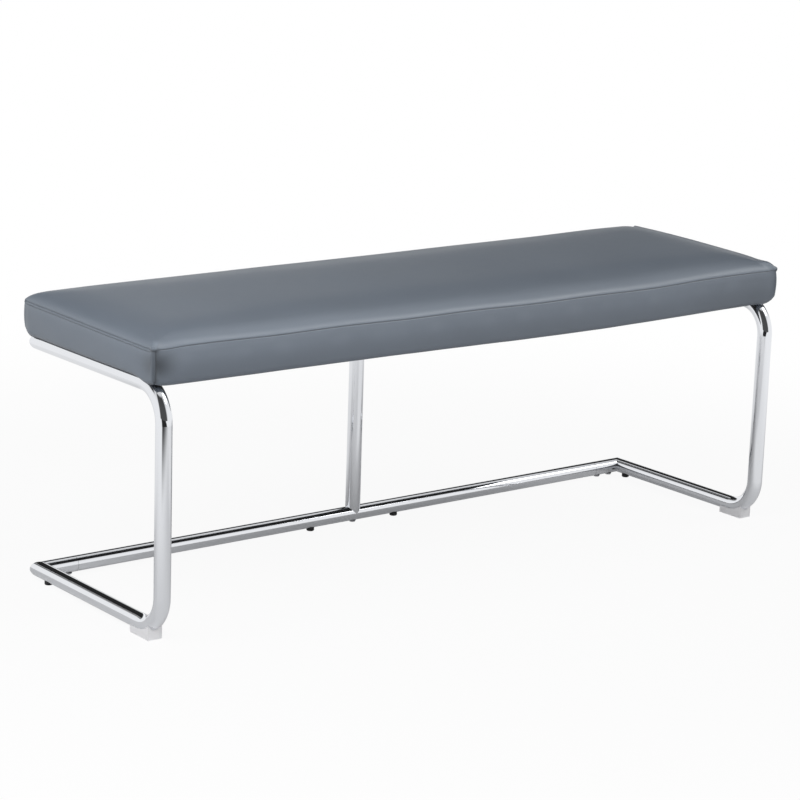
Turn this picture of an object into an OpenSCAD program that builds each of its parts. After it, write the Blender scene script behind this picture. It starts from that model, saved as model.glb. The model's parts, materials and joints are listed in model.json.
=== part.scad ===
// Dining bench: an upholstered seat on a chromed tube frame.
// +X runs along the bench, -Y is its front, +Z is up and the floor is at zero.

/* [Frame] */
// Distance between the axes of the two side frames
frame_length = 1200; // [900:10:1500]
// Distance from the front leg axis to the rear rail axis
frame_depth = 348; // [300:1:420]
// Distance from the floor bar axis up to the seat bar axis
bar_rise = 361; // [300:1:420]
// Outer diameter of every frame tube
tube_d = 25; // [22:0.5:28]
// Wall of every frame tube
tube_wall = 1.5; // [1.2:0.1:2]
// Radius of a leg bend at the tube axis
bend_r = 52; // [45:1:60]
// Length of a rear stub from the side frame axis to its joint with the rail
stub_length = 60; // [56:1:80]
// Gap that shows at each joint between a stub and a rail
joint_gap = 0.4; // [0.2:0.1:0.8]

/* [Joints] */
// Length of the spigot inside a rail joint
spigot_length = 92; // [84:1:92]
// Wall of a spigot
spigot_wall = 2.5; // [2:0.1:3]
// Gap all round between a spigot and the tube it slides into
spigot_clearance = 0.2; // [0.1:0.05:0.4]
// Thread diameter of the frame bolts and the seat screws
bolt_d = 6; // [5:0.5:7]
// Head diameter of the frame bolts and the seat screws
bolt_head_d = 12; // [10:0.5:13]
// Head height of the frame bolts and the seat screws
bolt_head_h = 2.5; // [2:0.1:3]
// Added to a thread diameter for the hole it passes
bolt_clearance = 0.5; // [0.3:0.1:0.8]
// Distance from a rail joint to the first bolt
first_bolt_set = 11; // [9:0.5:13]
// Distance from the first bolt to the second
bolt_pitch = 28; // [24:0.5:29]
// Length of bolt that stands inside the part it is screwed into
bolt_reach = 3; // [2:0.5:5]
// Height of the threaded plug in the foot of the post
plug_height = 16; // [12:1:20]
// Gap between parts that fit or are joined face to face on a curve
fit_clearance = 0.1; // [0.05:0.05:0.2]

/* [Seat] */
// Distance from a side frame axis out to the seam at that end of the seat
seat_overhang = 16; // [15:0.5:20]
// Distance from the front leg axis back to the front seam at the corners
seat_set = 4; // [0:0.5:8]
// Distance from the rear rail axis back to the rear seam at the corners
seat_rear_set = 26; // [24:0.5:34]
// Height of the side band from the lip to the top seam, at the corners
band_height = 57; // [50:0.5:64]
// Height of the crown above the top seam
crown_height = 21; // [14:1:28]
// Height that the rounded shoulder takes of the crown
shoulder_height = 17; // [11:1:20]
// Width of the rounded shoulder inside the seam
shoulder_width = 20; // [14:1:26]
// How far the long sides bow out between the corners
long_bow = 6; // [0:0.5:10]
// How far the short ends bow out between the corners
short_bow = 2; // [0:0.5:4]
// How far the band swells out between its lower edge and the seam
band_swell = 2.5; // [0:0.5:4]
// How far the band turns in at its lower edge
edge_draw = 7; // [4:0.5:9]
// Radius of the upright corners in plan
corner_r = 12; // [8:1:18]
// Thickness of the cover
cover_t = 1.2; // [0.8:0.1:1.6]
// Width of the padded lip that hangs round the underside
lip_width = 10; // [9:0.5:12]
// How far the lip of a long side hangs below the top of the tubes, at the corners
lip_drop = 10; // [7:0.5:12]
// How much lower the lip hangs at the middle of a long side
lip_sag = 4.5; // [0:0.5:6]
// How far the lip of an end hangs below the top of the tubes
end_drop = 2.5; // [1:0.5:4]
// Width of the cover turned in under the board, from the edge of the seat
hem_width = 60; // [56:1:80]
// Gap between the lip and the tube it lies against
seat_clearance = 0.3; // [0.2:0.1:0.6]

/* [Board] */
// Thickness of the seat board
board_t = 12; // [10:1:15]
// Distance from the edge of the seat to the edge of the board
board_inset = 5; // [4:0.5:6]
// Gap between the foam and the cover or board around it
foam_clearance = 0.2; // [0.1:0.05:0.4]
// Thickness of the dust cover
dust_cover_t = 0.5; // [0.3:0.1:0.8]
// Distance from the lip to the edge of the dust cover
dust_cover_set = 2; // [1:0.5:4]
// Distance of each side screw from the middle of the side bar
side_screw_set = 110; // [80:1:120]
// Distance of each rear screw from the middle of the bench
rear_screw_set = 300; // [200:10:400]
// Flange diameter of a tee nut
tee_flange_d = 18; // [15:0.5:20]
// Flange thickness of a tee nut
tee_flange_t = 1.5; // [1:0.1:2]
// Barrel wall of a tee nut
tee_wall = 1; // [0.8:0.1:1.5]
// Barrel length of a tee nut
tee_barrel = 7; // [6:0.5:8]
// Width of a staple crown
staple_width = 12; // [9:0.5:14]
// Thickness of the staple wire
staple_wire = 0.6; // [0.5:0.1:0.7]
// Length of a staple leg
staple_leg = 8; // [6:0.5:9]
// Distance of the staple rows from the tubes and from the lip
staple_set = 10; // [8:0.5:12]
// Spacing of the staples
staple_pitch = 100; // [60:5:140]

/* [Feet] */
// Height of the tubes above the floor
foot_gap = 5; // [4.5:0.1:7]
// Diameter of a black foot
foot_d = 13; // [11:0.5:15]
// Chamfer round the sole of a black foot
foot_chamfer = 1; // [0.5:0.1:1.5]
// Height that a foot reaches up round its tube
foot_wrap = 2; // [1.5:0.1:2.5]
// Diameter of the stem of a foot
stem_d = 6; // [5:0.5:7]
// Length of the stem inside the tube
stem_reach = 4; // [3:0.5:6]
// Distance from the rear rail axis forward to a side foot
side_foot_set = 24; // [20:1:40]
// Distance from the middle of the bench to a rail foot
rail_foot_set = 87; // [60:1:160]
// Width of a clear front foot
block_width = 24; // [20:0.5:24.5]
// Length of a clear front foot
block_length = 50; // [40:1:60]
// Distance from the front leg axis back to a clear foot
block_set = 18; // [16:1:22]
// Height that a clear foot reaches up round its tube
block_wrap = 6.5; // [4:0.5:8]

/* [Hidden] */

// Cutters run past the faces they cut by this much
overrun = 1;
// Facets of a full circle
smooth = 96;
// Facets of a small circle
fine = 48;

// Frame
tube_r = tube_d / 2;
bore_r = tube_r - tube_wall;
side_x = frame_length / 2;
floor_axis_z = foot_gap + tube_r;
seat_axis_z = floor_axis_z + bar_rise;
tube_top_z = seat_axis_z + tube_r;
joint_x = side_x - stub_length;
rail_half = joint_x - joint_gap;
bolt_hole_d = bolt_d + bolt_clearance;
thread_hole_d = bolt_d + 2 * fit_clearance;
rail_bolt_xs = [joint_x + first_bolt_set, joint_x + first_bolt_set + bolt_pitch];

// Heights through the seat
hem_z = tube_top_z + dust_cover_t;
board_z = hem_z + cover_t;
board_top_z = board_z + board_t;
lip_z = tube_top_z - lip_drop;
lowest_z = lip_z - lip_sag;
end_rise = lip_drop - end_drop;
seam_z = lip_z + band_height;

// Plan of the seat along its seam, with its middle at seat_y behind the front leg axis
seat_length = frame_length + 2 * seat_overhang;
seat_depth = frame_depth + seat_rear_set - seat_set;
seat_y = seat_set + seat_depth / 2;
front_reach = max(tube_r, long_bow + band_swell - seat_set);
rear_reach = max(frame_depth + tube_r, seat_set + seat_depth + long_bow + band_swell);
// The whole bench is moved by this much so that its box is centred on the origin
centring_y = (front_reach - rear_reach) / 2;

// Points along a long side, a short side and a corner of the seat's outline
long_steps = 12;
short_steps = 5;
corner_steps = 3;
// Fewer points serve for the hidden foam
foam_steps = [6, 3, 2];
cover_steps = [long_steps, short_steps, corner_steps];

// Upright band of the cover: heights as shares of the band, outsets as shares of the swell
band_height_shares = [0.2, 0.5, 0.78];
band_swell_shares = [0.5, 1, 0.7];
// Lower edge of the band: heights and insets as shares of the edge draw
edge_height_shares = [0, 0.35];
edge_inset_shares = [1, 0.3];
// Steps of the shoulder from the seam to the level part, in degrees
shoulder_angles = [18, 38, 60, 80];
// Insets across the crown and the heights there, as shares of half the depth and of the crown
crown_inset_shares = [0.3, 0.62];
crown_height_shares = [0.6, 0.92];

// Side screws lie evenly about the middle of the straight part of a seat bar
side_screw_y = (bend_r + frame_depth - tube_r) / 2;
side_screw_ys = [side_screw_y - side_screw_set, side_screw_y + side_screw_set];

// Place of point i along a side, from -1 to 1, with the points closer together near the corners
function side_share(i, steps) = -cos(180 * i / steps);

// Points of one side of the outline: from, to and outward are plan vectors
function side_points(from, to, outward, bow, steps) =
    [for (i = [1 : steps - 1])
        let (s = side_share(i, steps))
        from + (to - from) * (1 + s) / 2 + outward * bow * (1 - s * s)];

// Lifts of the lower edge along a side that stands at level and sags between the corners
function side_lifts(level, sag, steps) =
    [for (i = [1 : steps - 1])
        let (s = side_share(i, steps))
        level - sag * (1 - s * s)];

// Lifts of the lower edge round a corner
function corner_lifts(from, to, steps) = [for (i = [0 : steps]) from + (to - from) * i / steps];

// Lift of every point of the outline at the lower edge, in the order of seat_outline
function outline_lifts(steps) =
    concat(
        corner_lifts(end_rise, 0, steps[2]),
        side_lifts(0, lip_sag, steps[0]),
        corner_lifts(0, end_rise, steps[2]),
        side_lifts(end_rise, 0, steps[1]),
        corner_lifts(end_rise, 0, steps[2]),
        side_lifts(0, lip_sag, steps[0]),
        corner_lifts(0, end_rise, steps[2]),
        side_lifts(end_rise, 0, steps[1])
    );

// Points of one rounded corner, from the angle start onwards
function corner_points(centre, radius, start, steps) =
    [for (i = [0 : steps])
        let (a = start + 90 * i / steps)
        centre + radius * [cos(a), sin(a)]];

// Outline of the seat in plan, drawn in by inset all round
function seat_outline(inset, steps) =
    let (
        hx = seat_length / 2 - inset,
        hy = seat_depth / 2 - inset,
        r = max(corner_r - inset, corner_r / 4),
        cx = hx - r,
        cy = hy - r
    )
    concat(
        corner_points([cx, cy], r, 0, steps[2]),
        side_points([cx, hy], [-cx, hy], [0, 1], long_bow, steps[0]),
        corner_points([-cx, cy], r, 90, steps[2]),
        side_points([-hx, cy], [-hx, -cy], [-1, 0], short_bow, steps[1]),
        corner_points([-cx, -cy], r, 180, steps[2]),
        side_points([-cx, -hy], [cx, -hy], [0, -1], long_bow, steps[0]),
        corner_points([cx, -cy], r, 270, steps[2]),
        side_points([hx, -cy], [hx, cy], [1, 0], short_bow, steps[1])
    );

// Inset, height and share of the lower edge's lift of each ring of the cushion, moved inwards by skin
function edge_rings() =
    concat([[lip_width + overrun, lip_z, 1]],
        [for (i = [0 : len(edge_height_shares) - 1])
            [edge_draw * edge_inset_shares[i], lip_z + edge_draw * edge_height_shares[i], 1]]);

function band_rings(skin) =
    [for (i = [0 : len(band_height_shares) - 1])
        [skin - band_swell * band_swell_shares[i], lip_z + band_height * band_height_shares[i],
            1 - band_height_shares[i]]];

function shoulder_rings(skin) =
    [for (a = shoulder_angles)
        [skin + shoulder_width * (1 - cos(a)), seam_z + (shoulder_height - skin) * sin(a), 0]];

function crown_rings(skin) =
    [for (i = [0 : len(crown_inset_shares) - 1])
        [seat_depth / 2 * crown_inset_shares[i],
            seam_z - skin + shoulder_height
                + (crown_height - shoulder_height) * crown_height_shares[i], 0]];

function top_rings(skin) =
    concat([[skin, seam_z, 0]], shoulder_rings(skin), crown_rings(skin),
        [[seat_depth / 2 * crown_top_share, seam_z + crown_height - skin, 0]]);

// Inset of the level middle of the crown, as a share of half the depth
crown_top_share = 0.85;

// Closed form through the given rings, each a copy of the outline at its own inset, height and lift
module ring_form(rings, steps) {
    outlines = [for (ring = rings) seat_outline(ring[0], steps)];
    lifts = outline_lifts(steps);
    count = len(lifts);
    last = len(rings) - 1;
    points = [for (k = [0 : last]) each
        [for (i = [0 : count - 1])
            [outlines[k][i][0], outlines[k][i][1], rings[k][1] + rings[k][2] * lifts[i]]]];
    walls = [for (k = [0 : last - 1]) each
        [for (i = [0 : count - 1])
            let (j = (i + 1) % count, low = k * count, high = low + count)
            each [[low + i, high + i, high + j], [low + i, high + j, low + j]]]];
    bottom = [for (i = [1 : count - 2]) [0, i, i + 1]];
    top = [for (i = [1 : count - 2]) [last * count, last * count + i + 1, last * count + i]];
    translate([0, seat_y, 0])
        polyhedron(points, concat(bottom, walls, top));
}

// Upright plate with the seat's outline, drawn in by inset
module seat_plate(inset, z, thickness, steps) {
    translate([0, seat_y, z])
        linear_extrude(height = thickness)
            polygon(seat_outline(inset, steps));
}

// Bar of radius r along +Y from y_from to y_to on the side frame's axis
module bar_along_y(r, x, z, y_from, y_to) {
    translate([x, y_from, z])
        rotate([-90, 0, 0])
            cylinder(h = y_to - y_from, r = r, $fn = smooth);
}

// Bar of radius r along +X from x_from to x_to at the rear
module bar_along_x(r, z, x_from, x_to) {
    translate([x_from, frame_depth, z])
        rotate([0, 90, 0])
            cylinder(h = x_to - x_from, r = r, $fn = smooth);
}

// Quarter bend of radius r in the side frame's plane, starting at the angle start
module bend(r, z, start) {
    translate([0, bend_r, z])
        rotate([90, 0, 90])
            rotate([0, 0, start])
                rotate_extrude(angle = 90, $fn = smooth)
                    translate([bend_r, 0])
                        circle(r = r, $fn = smooth);
}

// How far a rear corner's mitre is drawn on each side of the axes
mitre_reach = 2 * tube_r;

// Bar from a front bend to its mitre at the rear corner, run on past the mitre by past
module mitred_bar(r, z, past) {
    intersection() {
        bar_along_y(r, 0, z, bend_r, frame_depth + mitre_reach);
        translate([0, frame_depth, z - mitre_reach])
            linear_extrude(height = 2 * mitre_reach)
                polygon([[-mitre_reach, -frame_depth], [mitre_reach, -frame_depth],
                    [mitre_reach, past - mitre_reach], [-mitre_reach, past + mitre_reach]]);
    }
}

// Stub from its mitre towards +X up to stub_end, with the mitre set off along X by set
module mitred_stub(r, z, set, stub_end) {
    intersection() {
        bar_along_x(r, z, -mitre_reach, stub_end);
        translate([set, frame_depth, z - mitre_reach])
            linear_extrude(height = 2 * mitre_reach)
                polygon([[-mitre_reach, mitre_reach], [mitre_reach, -mitre_reach],
                    [stub_length + mitre_reach, -mitre_reach],
                    [stub_length + mitre_reach, mitre_reach]]);
    }
}

// Solid run of a side tube in its own plane, of radius r, with its ends run on past the mitres by past
module side_run(r, past) {
    mitred_bar(r, floor_axis_z, past);
    mitred_bar(r, seat_axis_z, past);
    bend(r, floor_axis_z + bend_r, 180);
    bend(r, seat_axis_z - bend_r, 90);
    translate([0, 0, floor_axis_z + bend_r])
        cylinder(h = bar_rise - 2 * bend_r, r = r, $fn = smooth);
}

// Upright hole from below through the lower wall of a tube whose axis is at z
module lower_wall_hole(x, y, z, d) {
    translate([x, y, z - tube_r - overrun])
        cylinder(h = tube_r + overrun, d = d, $fn = fine);
}

// Upright hole through both walls of a tube whose axis is at z
module through_hole(x, y, z, d) {
    translate([x, y, z - tube_r - overrun])
        cylinder(h = tube_d + 2 * overrun, d = d, $fn = fine);
}

// Bore for a seat screw in a tube at seat height: an access hole for the head below, a plain hole above
module seat_screw_bore(x, y) {
    lower_wall_hole(x, y, seat_axis_z, bolt_head_d + bolt_clearance);
    translate([x, y, seat_axis_z])
        cylinder(h = tube_r + overrun, d = bolt_hole_d, $fn = fine);
}

// Bent tube of a side frame in its own plane: floor bar, leg and seat bar
module side_tube() {
    color("silver")
        difference() {
            side_run(tube_r, 0);
            side_run(bore_r, overrun);
            for (y = side_screw_ys)
                seat_screw_bore(0, y);
            lower_wall_hole(0, frame_depth - side_foot_set, floor_axis_z, stem_d);
            lower_wall_hole(0, block_pin_y, floor_axis_z, stem_d);
        }
}

module left_side_tube() {
    translate([-side_x, 0, 0])
        side_tube();
}

module right_side_tube() {
    mirror([1, 0, 0])
        left_side_tube();
}

// Stub of the left side frame whose axis is at z, standing off its bar by the fit of the weld
module left_stub(z) {
    color("silver")
        translate([-side_x, 0, 0])
            difference() {
                mitred_stub(tube_r, z, 2 * fit_clearance, stub_length);
                mitred_stub(bore_r, z, -overrun, stub_length + overrun);
                for (x = rail_bolt_xs)
                    lower_wall_hole(side_x - x, frame_depth, z, bolt_hole_d);
            }
}

module right_stub(z) {
    mirror([1, 0, 0])
        left_stub(z);
}

// Plain rail between the stubs, with its axis at z
module rail(z) {
    difference() {
        bar_along_x(tube_r, z, -rail_half, rail_half);
        bar_along_x(bore_r, z, -rail_half - overrun, rail_half + overrun);
    }
}

module lower_rear_rail() {
    color("silver")
        difference() {
            rail(floor_axis_z);
            through_hole(0, frame_depth, floor_axis_z, bolt_hole_d);
            for (side = [-1, 1])
                lower_wall_hole(side * rail_foot_set, frame_depth, floor_axis_z, stem_d);
        }
}

module upper_rear_rail() {
    color("silver")
        difference() {
            rail(seat_axis_z);
            for (side = [-1, 1])
                seat_screw_bore(side * rear_screw_set, frame_depth);
        }
}

// Spigot across one rail joint on the side given by -1 or 1, with its axis at z
spigot_r = bore_r - spigot_clearance;
module spigot(side, z) {
    middle = side * (joint_x - joint_gap / 2);
    color("gray")
        difference() {
            bar_along_x(spigot_r, z, middle - spigot_length / 2, middle + spigot_length / 2);
            bar_along_x(spigot_r - spigot_wall, z, middle - spigot_length / 2 - overrun,
                middle + spigot_length / 2 + overrun);
            for (x = rail_bolt_xs)
                lower_wall_hole(side * x, frame_depth, z, thread_hole_d);
        }
}

// Screw with its head's seat at the origin, its head below and its thread upwards
module screw(thread_length) {
    translate([0, 0, -bolt_head_h])
        difference() {
            cylinder(h = bolt_head_h, d1 = bolt_head_d - bolt_head_h, d2 = bolt_head_d, $fn = fine);
            translate([0, 0, -overrun])
                cylinder(h = overrun + bolt_head_h / 2, d = bolt_d / 2, $fn = 6);
        }
    translate([0, 0, -bolt_head_h / 4])
        cylinder(h = bolt_head_h / 4 + thread_length, d = bolt_d, $fn = fine);
}

// The four bolts of the rail joints whose tube axis is at z
module rail_bolts(z) {
    color("lightgray")
        for (side = [-1, 1], x = rail_bolt_xs)
            translate([side * x, frame_depth, z - tube_r])
                screw(tube_wall + spigot_clearance + spigot_wall + bolt_reach);
}

// Round post with both ends coped to the rails
module centre_post() {
    color("silver")
        difference() {
            translate([0, frame_depth, floor_axis_z])
                cylinder(h = bar_rise, r = tube_r, $fn = smooth);
            translate([0, frame_depth, floor_axis_z - overrun])
                cylinder(h = bar_rise + 2 * overrun, r = bore_r, $fn = smooth);
            for (z = [floor_axis_z, seat_axis_z])
                bar_along_x(tube_r + fit_clearance, z, -tube_d, tube_d);
        }
}

plug_z = floor_axis_z + tube_r + fit_clearance;
module post_plug() {
    color("gray")
        translate([0, frame_depth, plug_z])
            difference() {
                cylinder(h = plug_height, r = bore_r - fit_clearance, $fn = smooth);
                translate([0, 0, -overrun])
                    cylinder(h = plug_height + 2 * overrun, d = thread_hole_d, $fn = fine);
            }
}

module post_bolt() {
    color("lightgray")
        translate([0, frame_depth, foot_gap])
            screw(tube_d + fit_clearance + plug_height - bolt_reach);
}

// Where the seat screws stand, in plan
seat_screw_places = concat(
    [for (side = [-1, 1], y = side_screw_ys) [side * side_x, y]],
    [for (side = [-1, 1]) [side * rear_screw_set, frame_depth]]);

module at_seat_screws(z) {
    for (place = seat_screw_places)
        translate([place[0], place[1], z])
            children();
}

// Hole of diameter d for every seat screw, from z_from to z_to
module seat_screw_holes(d, z_from, z_to) {
    at_seat_screws(z_from)
        cylinder(h = z_to - z_from, d = d, $fn = fine);
}

// Seat of the screw heads inside the tubes, where the rim of a head meets the bore's upper wall
screw_seat_z = seat_axis_z + sqrt(bore_r * bore_r - bolt_head_d * bolt_head_d / 4) - fit_clearance;
module seat_screws() {
    color("lightgray")
        at_seat_screws(screw_seat_z)
            screw(board_top_z - tee_flange_t - screw_seat_z);
}

tee_barrel_d = thread_hole_d + 2 * tee_wall;
module seat_tee_nuts() {
    color("gray")
        at_seat_screws(board_top_z)
            difference() {
                union() {
                    translate([0, 0, -tee_flange_t])
                        cylinder(h = tee_flange_t, d = tee_flange_d, $fn = fine);
                    translate([0, 0, -tee_flange_t - tee_barrel])
                        cylinder(h = tee_flange_t + tee_barrel, d = tee_barrel_d, $fn = fine);
                }
                translate([0, 0, -tee_flange_t - tee_barrel - overrun])
                    cylinder(h = tee_flange_t + tee_barrel + 2 * overrun, d = thread_hole_d, $fn = fine);
            }
}

// Places and turns of the staples: rows beside the tubes and along the front lip
side_row_x = side_x - tube_r - staple_set;
rear_row_y = frame_depth - tube_r - staple_set;
front_row_y = seat_set + lip_width + staple_set;
function row(from, to) =
    let (count = max(round((to - from) / staple_pitch), 1))
    [for (i = [0 : count]) from + (to - from) * i / count];
long_row = row(-side_row_x + staple_width, side_row_x - staple_width);
short_row = row(front_row_y + staple_pitch / 2, rear_row_y - staple_pitch / 2);

module at_staples() {
    for (x = long_row, y = [front_row_y, rear_row_y])
        translate([x, y, 0])
            children();
    for (side = [-1, 1], y = short_row)
        translate([side * side_row_x, y, 0])
            rotate([0, 0, 90])
                children();
}

// One staple with its crown flat under the dust cover and its legs upwards
module staple() {
    translate([-staple_width / 2, -staple_wire / 2, tube_top_z - staple_wire]) {
        cube([staple_width, staple_wire, staple_wire]);
        for (x = [0, staple_width - staple_wire])
            translate([x, 0, 0])
                cube([staple_wire, staple_wire, staple_leg]);
    }
}

module cover_staples() {
    color("lightgray")
        at_staples()
            staple();
}

// Slots that the legs of the staples fill, widened by the fit all round
module staple_slots() {
    slot = staple_wire + 2 * fit_clearance;
    at_staples()
        for (side = [-1, 1])
            translate([side * (staple_width - staple_wire) / 2 - slot / 2, -slot / 2,
                    tube_top_z - staple_wire])
                cube([slot, slot, staple_leg + fit_clearance]);
}

module dust_cover() {
    color("black")
        difference() {
            seat_plate(lip_width + dust_cover_set, tube_top_z, dust_cover_t, cover_steps);
            seat_screw_holes(bolt_hole_d, tube_top_z - overrun, hem_z + overrun);
            staple_slots();
        }
}

module seat_board() {
    color("burlywood")
        difference() {
            seat_plate(board_inset, board_z, board_t, cover_steps);
            seat_screw_holes(tee_barrel_d, board_z - overrun, board_top_z + overrun);
            seat_screw_holes(tee_flange_d, board_top_z - tee_flange_t, board_top_z + overrun);
            staple_slots();
        }
}

// Inner rings of the cover, from the board's underside to the crown
function lining_rings(skin) =
    concat([[skin, board_z, 0]],
        [for (ring = band_rings(skin)) if (ring[1] - ring[2] * lip_sag > board_z) ring],
        top_rings(skin));

module seat_cover() {
    color([0.47, 0.5, 0.53])
        difference() {
            ring_form(concat(edge_rings(), band_rings(0), top_rings(0)), cover_steps);
            ring_form(lining_rings(cover_t), cover_steps);
            // Recess under the board inside the lip, and the opening inside the hem
            seat_plate(lip_width, lowest_z - overrun, hem_z - lowest_z + overrun, cover_steps);
            seat_plate(hem_width, lowest_z, board_z - lowest_z + overrun, cover_steps);
            for (side = [-1, 1])
                bar_along_y(tube_r + seat_clearance, side * side_x, seat_axis_z,
                    seat_set + lip_width, frame_depth + tube_r + seat_clearance);
            seat_screw_holes(bolt_hole_d, tube_top_z - overrun, board_z + overrun);
            staple_slots();
        }
}

module foam_pad() {
    color("khaki")
        difference() {
            ring_form([for (ring = lining_rings(cover_t + foam_clearance))
                    [ring[0], max(ring[1], board_z + foam_clearance), ring[2]]], foam_steps);
            seat_plate(board_inset - foam_clearance, board_z - overrun,
                board_t + overrun, cover_steps);
        }
}

// Side outline of the clear foot: flat sole, and a top that follows the tube at the height of its wrap
block_end = block_set + block_length;
block_steps = 6;
under_r = bend_r + tube_r - block_wrap;
block_pin_y = (bend_r + block_end) / 2;
function under_tube_z(y) = floor_axis_z + bend_r - sqrt(pow(under_r, 2) - pow(bend_r - min(y, bend_r), 2));
block_outline = concat(
    [[block_set, 0], [block_end, 0], [block_end, under_tube_z(block_end)]],
    [for (i = [0 : block_steps])
        let (y = bend_r + (block_set - bend_r) * i / block_steps)
        [y, under_tube_z(y)]]);

// Clear foot in the side frame's plane: a saddle under the bend, with a pin into the tube
module block_foot() {
    color("aliceblue") {
        difference() {
            translate([-block_width / 2, 0, 0])
                rotate([90, 0, 90])
                    linear_extrude(height = block_width)
                        polygon(block_outline);
            bend(tube_r + fit_clearance, floor_axis_z + bend_r, 180);
            bar_along_y(tube_r + fit_clearance, 0, floor_axis_z, bend_r, block_end + overrun);
        }
        translate([0, block_pin_y, foot_gap / 2])
            cylinder(h = foot_gap / 2 + tube_wall + stem_reach, d = stem_d - 2 * fit_clearance, $fn = fine);
    }
}

// Black foot standing at the origin under a tube: a chamfered pad with a stem
module pad_foot() {
    color("black") {
        cylinder(h = foot_chamfer, d1 = foot_d - 2 * foot_chamfer, d2 = foot_d, $fn = fine);
        translate([0, 0, foot_chamfer])
            cylinder(h = foot_gap + foot_wrap - foot_chamfer, d = foot_d, $fn = fine);
    }
}

module foot_stem() {
    color("black")
        translate([0, 0, foot_gap / 2])
            cylinder(h = foot_gap / 2 + tube_wall + stem_reach, d = stem_d - 2 * fit_clearance, $fn = fine);
}

module side_foot(side) {
    difference() {
        translate([side * side_x, frame_depth - side_foot_set, 0])
            pad_foot();
        bar_along_y(tube_r + fit_clearance, side * side_x, floor_axis_z, bend_r, frame_depth);
    }
    translate([side * side_x, frame_depth - side_foot_set, 0])
        foot_stem();
}

module rail_foot(side) {
    difference() {
        translate([side * rail_foot_set, frame_depth, 0])
            pad_foot();
        bar_along_x(tube_r + fit_clearance, floor_axis_z, -rail_half, rail_half);
    }
    translate([side * rail_foot_set, frame_depth, 0])
        foot_stem();
}

// Moves a piece from the front leg axis to the bench's own origin
module placed() {
    translate([0, centring_y, 0])
        children();
}

placed() seat_cover();
placed() foam_pad();
placed() seat_board();
placed() dust_cover();
placed() cover_staples();
placed() seat_tee_nuts();
placed() seat_screws();
placed() left_side_tube();
placed() right_side_tube();
placed() left_stub(floor_axis_z);  // left_lower_stub
placed() left_stub(seat_axis_z);  // left_upper_stub
placed() right_stub(floor_axis_z);  // right_lower_stub
placed() right_stub(seat_axis_z);  // right_upper_stub
placed() lower_rear_rail();
placed() upper_rear_rail();
placed() spigot(-1, floor_axis_z);  // left_lower_spigot
placed() spigot(1, floor_axis_z);  // right_lower_spigot
placed() spigot(-1, seat_axis_z);  // left_upper_spigot
placed() spigot(1, seat_axis_z);  // right_upper_spigot
placed() rail_bolts(floor_axis_z);  // lower_rail_bolts
placed() rail_bolts(seat_axis_z);  // upper_rail_bolts
placed() centre_post();
placed() post_plug();
placed() post_bolt();
placed() translate([-side_x, 0, 0]) block_foot();  // left_front_foot
placed() translate([side_x, 0, 0]) block_foot();  // right_front_foot
placed() side_foot(-1);  // left_side_foot
placed() side_foot(1);  // right_side_foot
placed() rail_foot(-1);  // left_rail_foot
placed() rail_foot(1);  // right_rail_foot
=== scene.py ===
"""Dining bench: the looks of its leather cushion, chromed tubes, fittings and feet."""

import json
import logging
import math
from dataclasses import dataclass, field
from enum import Enum
from typing import Any, Mapping, Sequence

import bmesh
import bpy
import numpy as np
from mathutils import Matrix

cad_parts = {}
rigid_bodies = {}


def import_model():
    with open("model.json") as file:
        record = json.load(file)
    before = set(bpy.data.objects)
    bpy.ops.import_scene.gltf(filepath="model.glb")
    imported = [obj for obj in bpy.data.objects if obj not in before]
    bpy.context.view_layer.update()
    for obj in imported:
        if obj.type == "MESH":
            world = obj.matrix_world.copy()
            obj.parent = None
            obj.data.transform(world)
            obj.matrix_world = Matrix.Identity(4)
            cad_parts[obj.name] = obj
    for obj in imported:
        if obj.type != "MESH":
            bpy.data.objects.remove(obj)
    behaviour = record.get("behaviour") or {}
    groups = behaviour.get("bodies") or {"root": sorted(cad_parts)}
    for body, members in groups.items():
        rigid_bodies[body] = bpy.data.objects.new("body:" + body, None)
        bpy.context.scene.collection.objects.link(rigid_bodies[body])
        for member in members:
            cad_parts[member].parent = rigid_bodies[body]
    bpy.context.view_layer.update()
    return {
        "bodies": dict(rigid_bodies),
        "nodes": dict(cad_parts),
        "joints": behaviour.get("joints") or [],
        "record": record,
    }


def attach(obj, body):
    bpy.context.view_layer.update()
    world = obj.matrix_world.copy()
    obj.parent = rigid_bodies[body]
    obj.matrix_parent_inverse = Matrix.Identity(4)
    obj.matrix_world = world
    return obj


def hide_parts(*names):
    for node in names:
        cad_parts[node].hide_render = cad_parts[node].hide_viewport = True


LOG = logging.getLogger("bench")
MM = 0.001
TINY = 1e-12
Colour = tuple[float, float, float]
Border = tuple[float, float]
WHITE = (1.0, 1.0, 1.0, 1.0)
BODY = "root"


# Shader nodes


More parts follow.
